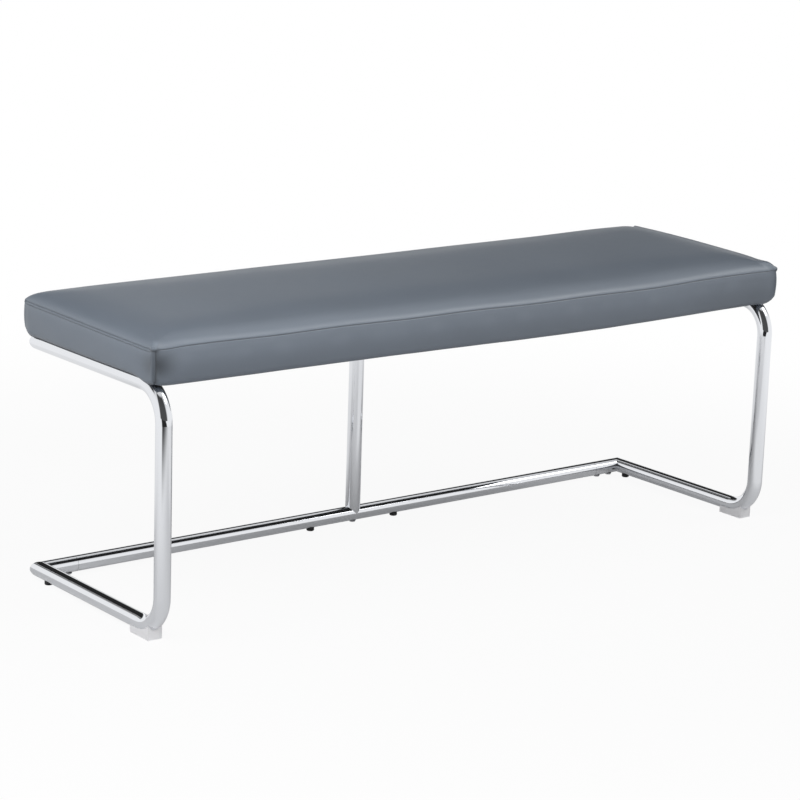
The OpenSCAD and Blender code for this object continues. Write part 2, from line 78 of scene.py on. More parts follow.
class Wire:
    """An output socket on which ordinary arithmetic adds Math nodes."""

    def __init__(self, board: "Board", socket: bpy.types.NodeSocket) -> None:
        """Keeps the socket and the node tree it belongs to."""
        self.board = board
        self.socket = socket

    def _math(self, operation: str, *terms: "Wire | float") -> "Wire":
        """Adds one Math node on the given terms."""
        return self.board.node("ShaderNodeMath", {"operation": operation}, dict(enumerate(terms)))

    def __add__(self, other: "Wire | float") -> "Wire":
        """Sum."""
        return self._math("ADD", self, other)

    __radd__ = __add__

    def __sub__(self, other: "Wire | float") -> "Wire":
        """Difference."""
        return self._math("SUBTRACT", self, other)

    def __rsub__(self, other: "Wire | float") -> "Wire":
        """Difference with the number first."""
        return self._math("SUBTRACT", other, self)

    def __mul__(self, other: "Wire | float") -> "Wire":
        """Product."""
        return self._math("MULTIPLY", self, other)

    __rmul__ = __mul__

    def __neg__(self) -> "Wire":
        """Negative."""
        return self._math("MULTIPLY", self, -1.0)

    def sine(self) -> "Wire":
        """Sine of the value in radians."""
        return self._math("SINE", self)

    def most(self, other: "Wire | float") -> "Wire":
        """The larger of two values."""
        return self._math("MAXIMUM", self, other)

    def step(self, low: float, high: float) -> "Wire":
        """Runs smoothly from 0 at low to 1 at high.

        Args:
            low: Value at which the result leaves 0.
            high: Value at which the result reaches 1.

        Returns:
            The smoothed share.
        """
        return self.board.node(
            "ShaderNodeMapRange",
            {"interpolation_type": "SMOOTHSTEP"},
            {"Value": self, "From Min": low, "From Max": high},
        )

    def between(self, low: Border, high: Border) -> "Wire":
        """Share of a band: rises from 0 to 1 over the low border and falls over the high one."""
        return self.step(*low) * (1.0 - self.step(*high))


class Board:
    """A node tree to which shader nodes are added."""

    def __init__(self, tree: bpy.types.NodeTree) -> None:
        """Empties the tree and takes it over."""
        self.tree = tree
        tree.nodes.clear()

    def node(
        self,
        kind: str,
        settings: Mapping[str, Any] | None = None,
        inputs: Mapping[str | int, Any] | None = None,
        output: str | int = 0,
    ) -> Wire:
        """Adds one node, sets it up and connects it.

        Args:
            kind: Blender's type name of the node.
            settings: Properties of the node, set first.
            inputs: Values or wires by the name or number of the socket.
            output: Name or number of the output to return.

        Returns:
            The chosen output.
        """
        made = self.tree.nodes.new(kind)
        for key, value in (settings or {}).items():
            setattr(made, key, value)
        for key, value in (inputs or {}).items():
            if isinstance(value, Wire):
                self.tree.links.new(value.socket, made.inputs[key])
            else:
                made.inputs[key].default_value = value
        return Wire(self, made.outputs[output])

    def end(self, kind: str, shader: Wire) -> None:
        """Ends the tree in an output node of the given kind, which shows the shader."""
        made = self.tree.nodes.new(kind)
        self.tree.links.new(shader.socket, made.inputs["Surface"])

    def place(self) -> Wire:
        """Object coordinates, in metres of the bench's own frame."""
        return self.node("ShaderNodeTexCoord", output="Object")

    def ray(self, kind: str) -> Wire:
        """Whether a ray is of one kind, such as Camera or Glossy."""
        return self.node("ShaderNodeLightPath", output=f"Is {kind} Ray")

    def mapped(self, vector: Wire, scale: Sequence[float], turn: Sequence[float] = (0, 0, 0)) -> Wire:
        """Coordinates stretched along each axis and turned about it, in radians."""
        return self.node("ShaderNodeMapping", None, {"Vector": vector, "Scale": scale, "Rotation": turn})

    def noise(self, vector: Wire, scale: float, detail: float = 2.0, roughness: float = 0.5) -> Wire:
        """Fractal noise about one half, by its waves per metre and its finer layers."""
        sockets = {"Vector": vector, "Scale": scale, "Detail": detail, "Roughness": roughness}
        return self.node("ShaderNodeTexNoise", None, sockets)

    def cells(self, vector: Wire, scale: float) -> Wire:
        """Distance from the middles of random cells, by the cells per metre."""
        sockets = {"Vector": vector, "Scale": scale}
        return self.node("ShaderNodeTexVoronoi", {"feature": "F1"}, sockets, "Distance")

    def axis(self, vector: Wire, letter: str) -> Wire:
        """One coordinate of a vector, by its letter."""
        return self.node("ShaderNodeSeparateXYZ", None, {0: vector}, letter)

    def tint(self, share: Wire, first: Wire | Colour, second: Wire | Colour) -> Wire:
        """Mixes two colours.

        Args:
            share: 0 for the first colour and 1 for the second.
            first: Colour or wire.
            second: Colour or wire.

        Returns:
            The mixed colour.
        """
        pair = {6: first, 7: second}
        values = {k: (*v, 1.0) if isinstance(v, tuple) else v for k, v in pair.items()}
        return self.node("ShaderNodeMix", {"data_type": "RGBA"}, {0: share, **values}, 2)

    def bump(self, height: Wire, depth: float, strength: float) -> Wire:
        """Normal bent by a pattern of height, which is a share of the depth in metres."""
        sockets = {"Height": height, "Distance": depth, "Strength": strength}
        return self.node("ShaderNodeBump", None, sockets)

    def glow(self, strength: float) -> Wire:
        """A white face of its own light."""
        return self.node("ShaderNodeEmission", None, {"Color": WHITE, "Strength": strength})

    def blend(self, share: Wire, first: Wire, second: Wire) -> Wire:
        """Mixes two shaders, the first at a share of 0 and the second at 1."""
        return self.node("ShaderNodeMixShader", None, {0: share, 1: first, 2: second})


class Coat(Board):
    """The node tree of one finish, with its material."""

    def __init__(self, name: str) -> None:
        """Makes the material.

        Args:
            name: Its name.
        """
        self.material = bpy.data.materials.new(name)
        self.material.use_nodes = True
        super().__init__(self.material.node_tree)

    def finish(self, **sockets: Any) -> bpy.types.Material:
        """Ends the tree in a Principled shader.

        Args:
            sockets: Socket names, with underscores for spaces, and their values or wires.

        Returns:
            The finished material.
        """
        named = {key.replace("_", " "): value for key, value in sockets.items()}
        self.end("ShaderNodeOutputMaterial", self.node("ShaderNodeBsdfPrincipled", None, named))
        return self.material


# Finishes


def shades(colour: Colour, darker: float, lighter: float) -> tuple[Colour, Colour]:
    """A darker and a lighter shade of one colour.

    Args:
        colour: The colour between them.
        darker: Share of it that the first keeps.
        lighter: Share of it that the second has, at most up to white.

    Returns:
        The two shades.
    """
    return tuple(c * darker for c in colour), tuple(min(c * lighter, 1.0) for c in colour)


@dataclass(frozen=True)
class GreyLeather:
    """Coated leather: mid grey with a cold tinge, finely pebbled, satin."""

    colour: Colour = (0.152, 0.179, 0.217)
    # Colour of the painted shade in seams, hollows and under the lower edge.
    painted_shade_colour: Colour = (0.050, 0.057, 0.067)
    # Colour of the painted highlight on the rolls above and below the seam.
    painted_highlight_colour: Colour = (0.245, 0.280, 0.325)
    pebbles_per_metre: float = 850.0
    grains_per_metre: float = 2400.0
    clouds_per_metre: float = 9.0
    mottles_per_metre: float = 60.0
    pebble_depth: float = 0.09 * MM
    # Shares of the painted highlight and of the painted shade where they are full.
    painted_highlight_share: float = 0.85
    painted_shade_share: float = 0.97
    roughness: float = 0.40

    def material(self) -> bpy.types.Material:
        """Builds the material.

        Pebbles are cell distances with fine noise, clouds are slow noise, and two attributes
        of the piece paint shade into its seams, hollows and lower edge and paint highlights onto its
        rolls.

        Returns:
            The material.
        """
        coat = Coat("grey_leather")
        place = coat.place()
        # Masks of painted shade and painted highlight that the cushion carries.
        painted_shade = coat.node("ShaderNodeAttribute", {"attribute_name": "painted_shade"}, output="Fac")
        painted_highlight = coat.node("ShaderNodeAttribute", {"attribute_name": "painted_highlight"}, output="Fac")
        pebbles = coat.cells(place, self.pebbles_per_metre)
        grain = coat.noise(place, self.grains_per_metre, 3.0, 0.6)
        cloud = coat.noise(place, self.clouds_per_metre, 3.0, 0.55)
        mottle = coat.noise(place, self.mottles_per_metre, 3.0, 0.6)
        shade = (cloud - 0.5) * 0.9 + (mottle - 0.5) * 0.4 + 0.5
        colour = coat.tint(shade, *shades(self.colour, 0.93, 1.07))
        # Painted highlight on the rolls above and below the seam.
        colour = coat.tint(painted_highlight * self.painted_highlight_share, colour, self.painted_highlight_colour)
        # Painted shade in seams, hollows and under the lower edge.
        colour = coat.tint(painted_shade * self.painted_shade_share, colour, self.painted_shade_colour)
        return coat.finish(
            Base_Color=colour,
            Roughness=(cloud - 0.5) * 0.08 + (mottle - 0.5) * 0.05 + painted_shade * 0.12 + self.roughness,
            Normal=coat.bump(pebbles * 0.8 + grain * 0.35, self.pebble_depth, 0.55),
            Specular_IOR_Level=0.45,
        )


@dataclass(frozen=True)
class BrightChrome:
    """Bright chrome plate with faint draw lines and a few smears."""

    name: str
    along: Sequence[float]
    colour: Colour = (0.79, 0.805, 0.835)
    lines_per_metre: float = 1400.0
    smears_per_metre: float = 28.0
    line_depth: float = 0.004 * MM
    roughness: float = 0.04

    def material(self) -> bpy.types.Material:
        """Builds the material: noise stretched along the tube for draw lines, slow noise for smears.

        Returns:
            The material.
        """
        coat = Coat(self.name)
        place = coat.place()
        lines = coat.noise(coat.mapped(place, self.along), self.lines_per_metre, 2.0, 0.6)
        smear = coat.noise(place, self.smears_per_metre, 4.0, 0.6)
        return coat.finish(
            Base_Color=coat.tint(smear, *shades(self.colour, 0.985, 1.015)),
            Metallic=1.0,
            Roughness=(smear - 0.45).most(0.0) * 0.10 + lines * 0.02 + self.roughness,
            Normal=coat.bump(lines, self.line_depth, 0.35),
        )


@dataclass(frozen=True)
class ZincPlate:
    """Zinc plated steel of the screws, spigots and staples."""

    colour: Colour = (0.60, 0.61, 0.63)
    spangles_per_metre: float = 420.0
    marks_per_metre: float = 1900.0
    mark_depth: float = 0.02 * MM
    roughness: float = 0.30

    def material(self) -> bpy.types.Material:
        """Builds the material: spangled cells over fine turning marks.

        Returns:
            The material.
        """
        coat = Coat("zinc_plate")
        place = coat.place()
        spangle = coat.cells(place, self.spangles_per_metre)
        marks = coat.noise(coat.mapped(place, (1.0, 1.0, 6.0)), self.marks_per_metre, 2.0, 0.6)
        return coat.finish(
            Base_Color=coat.tint(spangle, *shades(self.colour, 0.86, 1.08)),
            Metallic=1.0,
            Roughness=spangle * 0.12 + marks * 0.08 + self.roughness,
            Normal=coat.bump(marks, self.mark_depth, 0.4),
        )


@dataclass(frozen=True)
class MilkyPlastic:
    """Clear plastic that has gone slightly milky, with a moulded skin."""

    colour: Colour = (0.95, 0.95, 0.97)
    flows_per_metre: float = 160.0
    grains_per_metre: float = 1800.0
    skin_depth: float = 0.06 * MM
    roughness: float = 0.26

    def material(self) -> bpy.types.Material:
        """Builds the material: part clear, part clouded, with flow lines in the skin.

        Returns:
            The material.
        """
        coat = Coat("milky_plastic")
        place = coat.place()
        flow = coat.noise(coat.mapped(place, (1.0, 0.35, 1.0)), self.flows_per_metre, 3.0, 0.5)
        grit = coat.noise(place, self.grains_per_metre, 2.0, 0.6)
        return coat.finish(
            Base_Color=coat.tint(flow, *shades(self.colour, 0.96, 1.03)),
            Roughness=flow * 0.10 + grit * 0.06 + self.roughness,
            Normal=coat.bump(flow * 0.7 + grit * 0.3, self.skin_depth, 0.5),
            Transmission_Weight=0.12,
            IOR=1.47,
            Specular_IOR_Level=0.5,
        )


@dataclass(frozen=True)
class BlackRubber:
    """Matt black rubber with a dusty moulded skin."""

    colour: Colour = (0.016, 0.016, 0.018)
    dust_colour: Colour = (0.05, 0.05, 0.052)
    dust_per_metre: float = 90.0
    grains_per_metre: float = 2200.0
    skin_depth: float = 0.08 * MM
    roughness: float = 0.62

    def material(self) -> bpy.types.Material:
        """Builds the material: dust gathers in slow noise and grit roughens the skin.

        Returns:
            The material.
        """
        coat = Coat("black_rubber")
        place = coat.place()
        dust = coat.noise(place, self.dust_per_metre, 4.0, 0.65)
        grit = coat.noise(place, self.grains_per_metre, 2.0, 0.5)
        return coat.finish(
            Base_Color=coat.tint(dust.step(0.45, 0.75), self.colour, self.dust_colour),
            Roughness=dust * 0.16 + self.roughness,
            Normal=coat.bump(grit, self.skin_depth, 0.5),
        )


@dataclass(frozen=True)
class CutFoam:
    """Open foam, pale yellow, with fine cells."""

    colour: Colour = (0.78, 0.70, 0.50)
    cells_per_metre: float = 900.0
    hollows_per_metre: float = 260.0
    cell_depth: float = 0.6 * MM

    def material(self) -> bpy.types.Material:
        """Builds the material: two sizes of cells sunk into a pale face.

        Returns:
            The material.
        """
        coat = Coat("cut_foam")
        place = coat.place()
        holes = coat.cells(place, self.cells_per_metre)
        wide = coat.cells(place, self.hollows_per_metre)
        return coat.finish(
            # The pores are darker: painted shade in them.
            Base_Color=coat.tint(holes.step(0.0, 0.6), *shades(self.colour, 0.72, 1.0)),
            Roughness=holes * 0.1 + 0.85,
            Normal=coat.bump(holes * 0.7 + wide * 0.3, self.cell_depth, 0.7),
        )


@dataclass(frozen=True)
class PoplarPly:
    """Plain plywood: long grain on the faces and stacked plies at the edges."""

    pale: Colour = (0.66, 0.50, 0.32)
    brown: Colour = (0.42, 0.28, 0.15)
    ply: float = 1.5 * MM
    grains_per_metre: float = 240.0
    figures_per_metre: float = 22.0
    grain_depth: float = 0.2 * MM

    def material(self) -> bpy.types.Material:
        """Builds the material: grain is noise stretched along X, plies are bands of height.

        Returns:
            The material.
        """
        coat = Coat("poplar_ply")
        place = coat.place()
        grain = coat.noise(coat.mapped(place, (0.06, 1.0, 1.0)), self.grains_per_metre, 5.0, 0.6)
        figure = coat.noise(coat.mapped(place, (0.12, 1.0, 1.0)), self.figures_per_metre, 3.0, 0.5)
        plies = (coat.axis(place, "Z") * (math.pi / self.ply)).sine() * 0.5 + 0.5
        share = grain * 0.45 + figure * 0.35 + plies.step(0.4, 0.6) * 0.25
        return coat.finish(
            Base_Color=coat.tint(share, self.brown, self.pale),
            Roughness=grain * 0.15 + 0.58,
            Normal=coat.bump(grain, self.grain_depth, 0.6),
        )


@dataclass(frozen=True)
class DustCloth:
    """Black bonded cloth with pressed dots and loose fibres."""

    colour: Colour = (0.018, 0.018, 0.019)
    fibre_colour: Colour = (0.045, 0.045, 0.047)
    fibres_per_metre: float = 900.0
    dots_per_metre: float = 520.0
    dot_depth: float = 0.3 * MM

    def material(self) -> bpy.types.Material:
        """Builds the material: fibres are noise stretched two ways and dots are cell centres.

        Returns:
            The material.
        """
        coat = Coat("dust_cloth")
        place = coat.place()
        long_way = coat.mapped(place, (0.2, 1.0, 1.0), (0.0, 0.0, 0.5))
        cross_way = coat.mapped(place, (1.0, 0.2, 1.0), (0.0, 0.0, 0.3))
        one, two = (coat.noise(way, self.fibres_per_metre, 3.0, 0.6) for way in (long_way, cross_way))
        dots = coat.cells(place, self.dots_per_metre)
        fibres = one * 0.5 + two * 0.5
        return coat.finish(
            Base_Color=coat.tint(fibres.step(0.45, 0.7), self.colour, self.fibre_colour),
            Roughness=fibres * 0.12 + 0.82,
            Normal=coat.bump(fibres * 0.6 + dots.step(0.1, 0.3) * 0.4, self.dot_depth, 0.6),
        )


@dataclass(frozen=True)
class SewingThread:
    """Bonded thread in the leather's grey, twisted."""

    colour: Colour = (0.15, 0.17, 0.195)
    twists: float = 6.0
    twist_depth: float = 0.1 * MM

    def material(self) -> bpy.types.Material:
        """Builds the material: diagonal bands of the twist on the thread's own coordinates.

        Returns:
            The material.
        """
        coat = Coat("sewing_thread")
        spot = coat.node("ShaderNodeUVMap", {"uv_map": "UVMap"})
        diagonal = coat.axis(spot, "X") + coat.axis(spot, "Y")
        twist = (diagonal * (2 * math.pi * self.twists)).sine() * 0.5 + 0.5
        return coat.finish(
            Base_Color=coat.tint(twist, *shades(self.colour, 0.7, 1.2)),
            Roughness=twist * 0.1 + 0.5,
            Normal=coat.bump(twist, self.twist_depth, 0.6),
        )


# Grids and meshes


def grid_faces(rows: int, columns: int) -> np.ndarray:
    """Quads of a grid that is closed along its rows.

    Face corners run row by row: each quad joins two neighbouring columns of two
    neighbouring rows, and the last column joins the first.

    Args:
        rows: Number of rows of points.
        columns: Number of points in each row.

    Returns:
        Corner numbers, four to a face.
    """
    row = np.arange(rows - 1)[:, None] * columns
    here = np.arange(columns)[None, :]
    after = (here + 1) % columns
    quads = np.stack([row + here, row + after, row + columns + after, row + columns + here], axis=-1)
    return quads.reshape(-1, 4)


def grid_normals(points: np.ndarray) -> np.ndarray:
    """Outward unit normals of a grid of points that is closed along its rows.

    The normal is the cross product of the slope from row to row and the slope along a row.

    Args:
        points: Array of rows by columns by 3.

    Returns:
        Normals of the same shape.
    """
    along = np.roll(points, -1, axis=1) - np.roll(points, 1, axis=1)
    across = np.gradient(points, axis=0)
    normal = np.cross(across, along)
    length = np.linalg.norm(normal, axis=-1, keepdims=True)
    return normal / np.maximum(length, TINY)


def mesh_object(name: str, points: np.ndarray, faces: np.ndarray) -> bpy.types.Object:
    """Puts points and smooth faces into a new object at the origin.

    Args:
        name: Name of the object.
        points: Places of the points.
        faces: Corner numbers, as many to a row as the faces have corners.

    Returns:
        The new object.
    """
    mesh = bpy.data.meshes.new(name)
    flat = np.ascontiguousarray(points.reshape(-1, 3), dtype=np.float32)
    sides = faces.shape[1]
    mesh.vertices.add(len(flat))
    mesh.vertices.foreach_set("co", flat.ravel())
    mesh.loops.add(faces.size)
    mesh.loops.foreach_set("vertex_index", faces.ravel().astype(np.int32))
    mesh.polygons.add(len(faces))
    mesh.polygons.foreach_set("loop_start", np.arange(len(faces), dtype=np.int32) * sides)
    mesh.polygons.foreach_set("use_smooth", np.ones(len(faces), bool))
    mesh.update(calc_edges=True)
    mesh.validate()
    made = bpy.data.objects.new(name, mesh)
    bpy.context.scene.collection.objects.link(made)
    return made


def points_of(mesh: bpy.types.Mesh) -> np.ndarray:
    """Reads the places of a mesh's points.

    Args:
        mesh: The mesh.

    Returns:
        One row for each point.
    """
    flat = np.empty(len(mesh.vertices) * 3, np.float32)
    mesh.vertices.foreach_get("co", flat)
    return flat.reshape(-1, 3).astype(float)


def close_doubles(made: bpy.types.Object, reach: float = 0.002 * MM) -> None:
    """Merges points that lie on each other, so that poles and seams are closed.

    Args:
        made: Object to clean.
        reach: Distance within which points are merged.
    """
    work = bmesh.new()
    work.from_mesh(made.data)
    bmesh.ops.remove_doubles(work, verts=work.verts, dist=reach)
    bmesh.ops.dissolve_degenerate(work, edges=work.edges, dist=reach)
    bmesh.ops.recalc_face_normals(work, faces=work.faces)
    work.to_mesh(made.data)
    work.free()


def dress(made: bpy.types.Object, *materials: bpy.types.Material) -> None:
    """Gives an object its materials, in place of those it had.

    Args:
        made: The object.
        materials: The materials in order.
    """
    made.data.materials.clear()
    for material in materials:
        made.data.materials.append(material)


@dataclass
class DriftField:
    """How a cloud of points moved, smoothed on a regular grid.

    Attributes:
        low: Lowest corner of the grid.
        cell: Size of a cell.
        drift: Movement at each grid point.
    """

    low: np.ndarray
    cell: float
    drift: np.ndarray

    @classmethod
    def from_points(cls, points: np.ndarray, moves: np.ndarray, cell: float, passes: int) -> "DriftField":
        """Gathers scattered movements on a grid and blurs them.

        Each cell takes the mean of the movements in it. Blurring sums and counts
        alike with the weights 1, 2, 1 along each axis fills the cells between.

        Args:
            points: Places before the movement.
            moves: Movements.
            cell: Size of a cell.
            passes: Number of blurs.

        Returns:
            The field.
        """
        low = points.min(0) - cell * (passes + 2)
        shape = np.ceil((points.max(0) - low) / cell).astype(int) + passes + 3
        at = np.rint((points - low) / cell).astype(int)
        total = np.zeros((*shape, 4))
        np.add.at(total, tuple(at.T), np.c_[moves, np.ones(len(moves))])
        for _ in range(passes):
            for axis in range(3):
                total = (np.roll(total, 1, axis) + 2 * total + np.roll(total, -1, axis)) / 4
        return cls(low, cell, total[..., :3] / np.maximum(total[..., 3:], TINY))

    def at(self, places: np.ndarray) -> np.ndarray:
        """Movement at any places, from the eight grid points round each.

        Args:
            places: Array that ends in an axis of 3.

        Returns:
            Movements of the same shape.
        """
        scaled = (places - self.low) / self.cell
        top = np.array(self.drift.shape[:3]) - 2
        base = np.clip(np.floor(scaled).astype(int), 0, top)
        part = np.clip(scaled - base, 0.0, 1.0)
        result = np.zeros_like(places)
        for corner in np.ndindex(2, 2, 2):
            weight = np.prod(np.where(np.array(corner) == 1, part, 1.0 - part), axis=-1, keepdims=True)
            spot = base + np.array(corner)
            result += weight * self.drift[spot[..., 0], spot[..., 1], spot[..., 2]]
        return result


# Curves


def bell(value: np.ndarray, middle: float, width: float | np.ndarray) -> np.ndarray:
    """Bell curve of a value, 1 at its middle and e to the minus 1 at its width."""
    return np.exp(-(((value - middle) / width) ** 2))


def ramp(value: np.ndarray, low: float, high: float) -> np.ndarray:
    """Straight rise from 0 at low to 1 at high."""
    return np.clip((value - low) / (high - low), 0.0, 1.0)


def ease(value: np.ndarray, low: float, high: float) -> np.ndarray:
    """Smooth rise from 0 at low to 1 at high: 3 t^2 - 2 t^3 of the straight one."""
    share = ramp(value, low, high)
    return share * share * (3 - 2 * share)


def fading(distance: np.ndarray, reach: float, power: float = 1.0) -> np.ndarray:
    """Exponential fall with distance: 1 up to 0 and e to the minus 1 at its reach."""
    return np.exp(-((np.clip(distance, 0.0, None) / reach) ** power))


@dataclass(frozen=True)
class Bell:
    """A bell curve of the distance below the seam.

    Attributes:
        middle: Distance at which it is highest, negative above the seam.
        width: Distance from there at which it has fallen to e to the minus 1.
        height: Its height, as a depth or as a share of crease or rub.
    """

    middle: float
    width: float
    height: float

    def at(self, down: np.ndarray) -> np.ndarray:
        """Its height at each distance."""
        return self.height * bell(down, self.middle, self.width)


@dataclass(frozen=True)
class Wave:
    """A sine of the distance along the seam.

    Attributes:
        length: Length of a wave.
        phase: Its start in radians.
        height: Its height.
    """

    length: float
    phase: float
    height: float

    def at(self, along: np.ndarray) -> np.ndarray:
        """Its height at each distance."""
        return self.height * np.sin(along * 2 * math.pi / self.length + self.phase)


# Cushion


class Side(Enum):
    """Sides of the seat in the order in which its outline passes them."""

    REAR = 0
    LEFT = 1
    FRONT = 2
    RIGHT = 3


@dataclass
class Outline:
    """Plan of the seat: a long rectangle with rounded corners and bowed sides.

    Attributes:
        half_length: Half length to the seam at the corners.
        half_depth: Half depth to the seam at the corners.
        corner: Radius of the corners.
        corner_share: Largest such radius, as a share of the half depth.
        long_bow: How far the long sides bow out.
        short_bow: How far the ends bow out.
        long_steps: Spaces between points along a long side.
        short_steps: Spaces between points along an end.
        corner_steps: Spaces between points round a corner.
        side: Number of the side to which each point belongs.
        share: Where each point lies along its side, from -1 to 1.
        corner_x: End of the bench at which each corner point lies, -1 or 1.
        corner_y: Its front or rear, -1 or 1.
        angle: Direction of each corner point from its corner's centre.
        on_corner: Whether each point is on a corner.
    """

    half_length: float
    half_depth: float
    corner: float = 5 * MM
    corner_share: float = 0.6
    long_bow: float = 6 * MM
    short_bow: float = 2 * MM
    long_steps: int = 240
    short_steps: int = 76
    corner_steps: int = 16
    side: np.ndarray = field(init=False)
    share: np.ndarray = field(init=False)
    corner_x: np.ndarray = field(init=False)
    corner_y: np.ndarray = field(init=False)
    angle: np.ndarray = field(init=False)
    on_corner: np.ndarray = field(init=False)

    def __post_init__(self) -> None:
        """Lays out one entry per point: which side or corner it is on, and where along it."""
        steps = {Side.REAR: self.long_steps, Side.LEFT: self.short_steps}
        steps |= {Side.FRONT: self.long_steps, Side.RIGHT: self.short_steps}
        signs = {Side.REAR: (1, 1), Side.LEFT: (-1, 1), Side.FRONT: (-1, -1), Side.RIGHT: (1, -1)}
        runs = []
        for side in Side:
            turn = np.linspace(0.0, 1.0, self.corner_steps + 1)
            run = np.linspace(-1.0, 1.0, steps[side] + 1)[1:-1]
            x, y = signs[side]
            angle = (turn + side.value) * math.pi / 2
            one = np.ones_like(turn)
            runs.append(np.c_[one * side.value, -one, one * x, one * y, angle, one])
            runs.append(np.c_[np.full_like(run, side.value), run, np.zeros((len(run), 4))])
        table = np.concatenate(runs)
        self.side, self.share = table[:, 0].astype(int), table[:, 1]
        self.corner_x, self.corner_y, self.angle = table[:, 2], table[:, 3], table[:, 4]
        self.on_corner = table[:, 5] > 0.5

    @property
    def count(self) -> int:
        """Number of points round the outline."""
        return len(self.side)

    def plan(self, inset: np.ndarray, radius: np.ndarray) -> np.ndarray:
        """Plan places of the outline drawn in by each inset.

        A corner point lies on a circle of the radius about the corner's centre. A side
        point runs straight between two corners and is pushed out by the bow times one
        minus the square of its share, and the bow dies away with the inset.

        Args:
            inset: How far each row is drawn in.
            radius: Corner radius of each row.

        Returns:
            Array of rows by points by 2.
        """
        inset = inset[:, None]
        long_run = self.half_length - inset
        short_run = self.half_depth - inset
        radius = np.minimum(radius[:, None], self.corner_share * short_run)
        fade = np.clip(1.0 - inset / self.half_depth, 0.0, 1.0)
        rise = 1.0 - self.share**2
        x = self.corner_x * (long_run - radius) + radius * np.cos(self.angle)
        y = self.corner_y * (short_run - radius) + radius * np.sin(self.angle)
        for side, sign in ((Side.REAR, 1.0), (Side.FRONT, -1.0)):
            on = self.on_side(side)
            x = np.where(on, -sign * self.share * (long_run - radius), x)
            y = np.where(on, sign * (short_run + fade * self.long_bow * rise), y)
        for side, sign in ((Side.LEFT, -1.0), (Side.RIGHT, 1.0)):
            on = self.on_side(side)
            x = np.where(on, sign * (long_run + fade * self.short_bow * rise), x)
            y = np.where(on, sign * self.share * (short_run - radius), y)
        return np.stack([x, y], axis=-1)

    def on_side(self, *sides: Side) -> np.ndarray:
        """Which points lie on the given sides, without their corners."""
        return np.isin(self.side, [side.value for side in sides]) & ~self.on_corner

    def seam(self) -> np.ndarray:
        """Plan places of the seam."""
        return self.plan(np.zeros(1), np.full(1, self.corner))[0]

    def steps(self) -> np.ndarray:
        """Distance from each point of the seam to the next."""
        seam = self.seam()
        return np.linalg.norm(np.roll(seam, -1, axis=0) - seam, axis=1)

    def lengths(self) -> np.ndarray:
        """Distance of each point along the seam from the first."""
        return np.concatenate([[0.0], np.cumsum(self.steps())[:-1]])


@dataclass
class Rows:
    """The seat's cross-section: rows from the crown to the seam, down the band and in over the board.

    Attributes:
        inset: How far each row is drawn in from the seam.
        height: Height of each row above the lip of a long side.
        lower: Share of the lower edge's own shape that each row takes.
        upper: Share of the seam's own shape that each row takes.
        radius: Corner radius of each row.
        down: Distance below the seam along the surface, negative above it.
        foam: Whether the strip from this row to the next is foam.
    """

    inset: np.ndarray
    height: np.ndarray
    lower: np.ndarray
    upper: np.ndarray
    radius: np.ndarray
    down: np.ndarray
    foam: np.ndarray


@dataclass(frozen=True)
class LowerEdge:
    """The lips of the band: the long sides' hang in front of the frame, and the ends' rest on it.

    Attributes:
        sag: How much lower the lip of a long side hangs at its lowest.
        sag_middle: X of that place from the seat's middle.
        sag_width: Width of the sag.
        tube_dip: How far the front lip dips in front of the right tube.
        tube_inset: Distance of that dip from the right end.
        tube_width: Width of that dip.
        end_rise: How much higher the lip of an end is.
        bend_dip: How far the lip of an end dips where the frame bends down.
        bend_inset: Distance of that dip from the front.
        bend_width: Width of that dip.
        corner_rise: How far the lip rises at the corners.
        long_reach: How far that rise reaches along a long side.
        end_reach: How far it reaches along an end.
        reach_power: How steeply it falls there.
        rear_rise_share: How many times larger it is at the rear of a long side.
        end_rise_shares: Shares of it at the front and at the rear of an end.
        rear_dip_share: Share of the bend's dip at the rear of an end.
        rear_width_share: Share of that dip's width there.
    """

    sag: float = 4.6 * MM
    sag_middle: float = 200 * MM
    sag_width: float = 300 * MM
    tube_dip: float = 2.0 * MM
    tube_inset: float = 21 * MM
    tube_width: float = 13 * MM
    end_rise: float = 7.9 * MM
    bend_dip: float = 6.5 * MM
    bend_inset: float = 19 * MM
    bend_width: float = 22 * MM
    corner_rise: float = 6.5 * MM
    long_reach: float = 10 * MM
    end_reach: float = 8 * MM
    reach_power: float = 1.3
    rear_rise_share: float = 2.0
    end_rise_shares: tuple[float, float] = (0.35, 0.85)
    rear_dip_share: float = 0.3
    rear_width_share: float = 0.5

    def heights(self, outline: Outline) -> np.ndarray:
        """Height of the lower edge over the plain lip of a long side.

        A long side sags on a bell curve and rises exponentially to the corners. An end
        is higher, dips on a bell curve where the frame bends down, and rises at the
        rear corner.

        Args:
            outline: Plan of the seat.

        Returns:
            One height for each point of the outline.
        """
        x, y = outline.seam().T
        to_end = outline.half_length - np.abs(x)
        to_side = outline.half_depth - np.abs(y)
        front = y < 0
        rise = self.corner_rise * np.where(front, 1.0, self.rear_rise_share)
        long_side = rise * fading(to_end, self.long_reach, self.reach_power)
        long_side = long_side - self.sag * bell(x, self.sag_middle, self.sag_width)
        by_tube = bell(x, outline.half_length - self.tube_inset, self.tube_width)
        long_side = long_side - self.tube_dip * by_tube * front
        width = self.bend_width * np.where(front, 1.0, self.rear_width_share)
        dip = self.bend_dip * np.where(front, 1.0, self.rear_dip_share)
        dip = dip * bell(to_side, self.bend_inset, width)
        last = self.corner_rise * np.where(front, *self.end_rise_shares)
        short_side = self.end_rise - dip + last * fading(to_side, self.end_reach, self.reach_power)
        share = ramp(to_end - to_side, -outline.corner, outline.corner)
        return long_side * share + short_side * (1 - share)


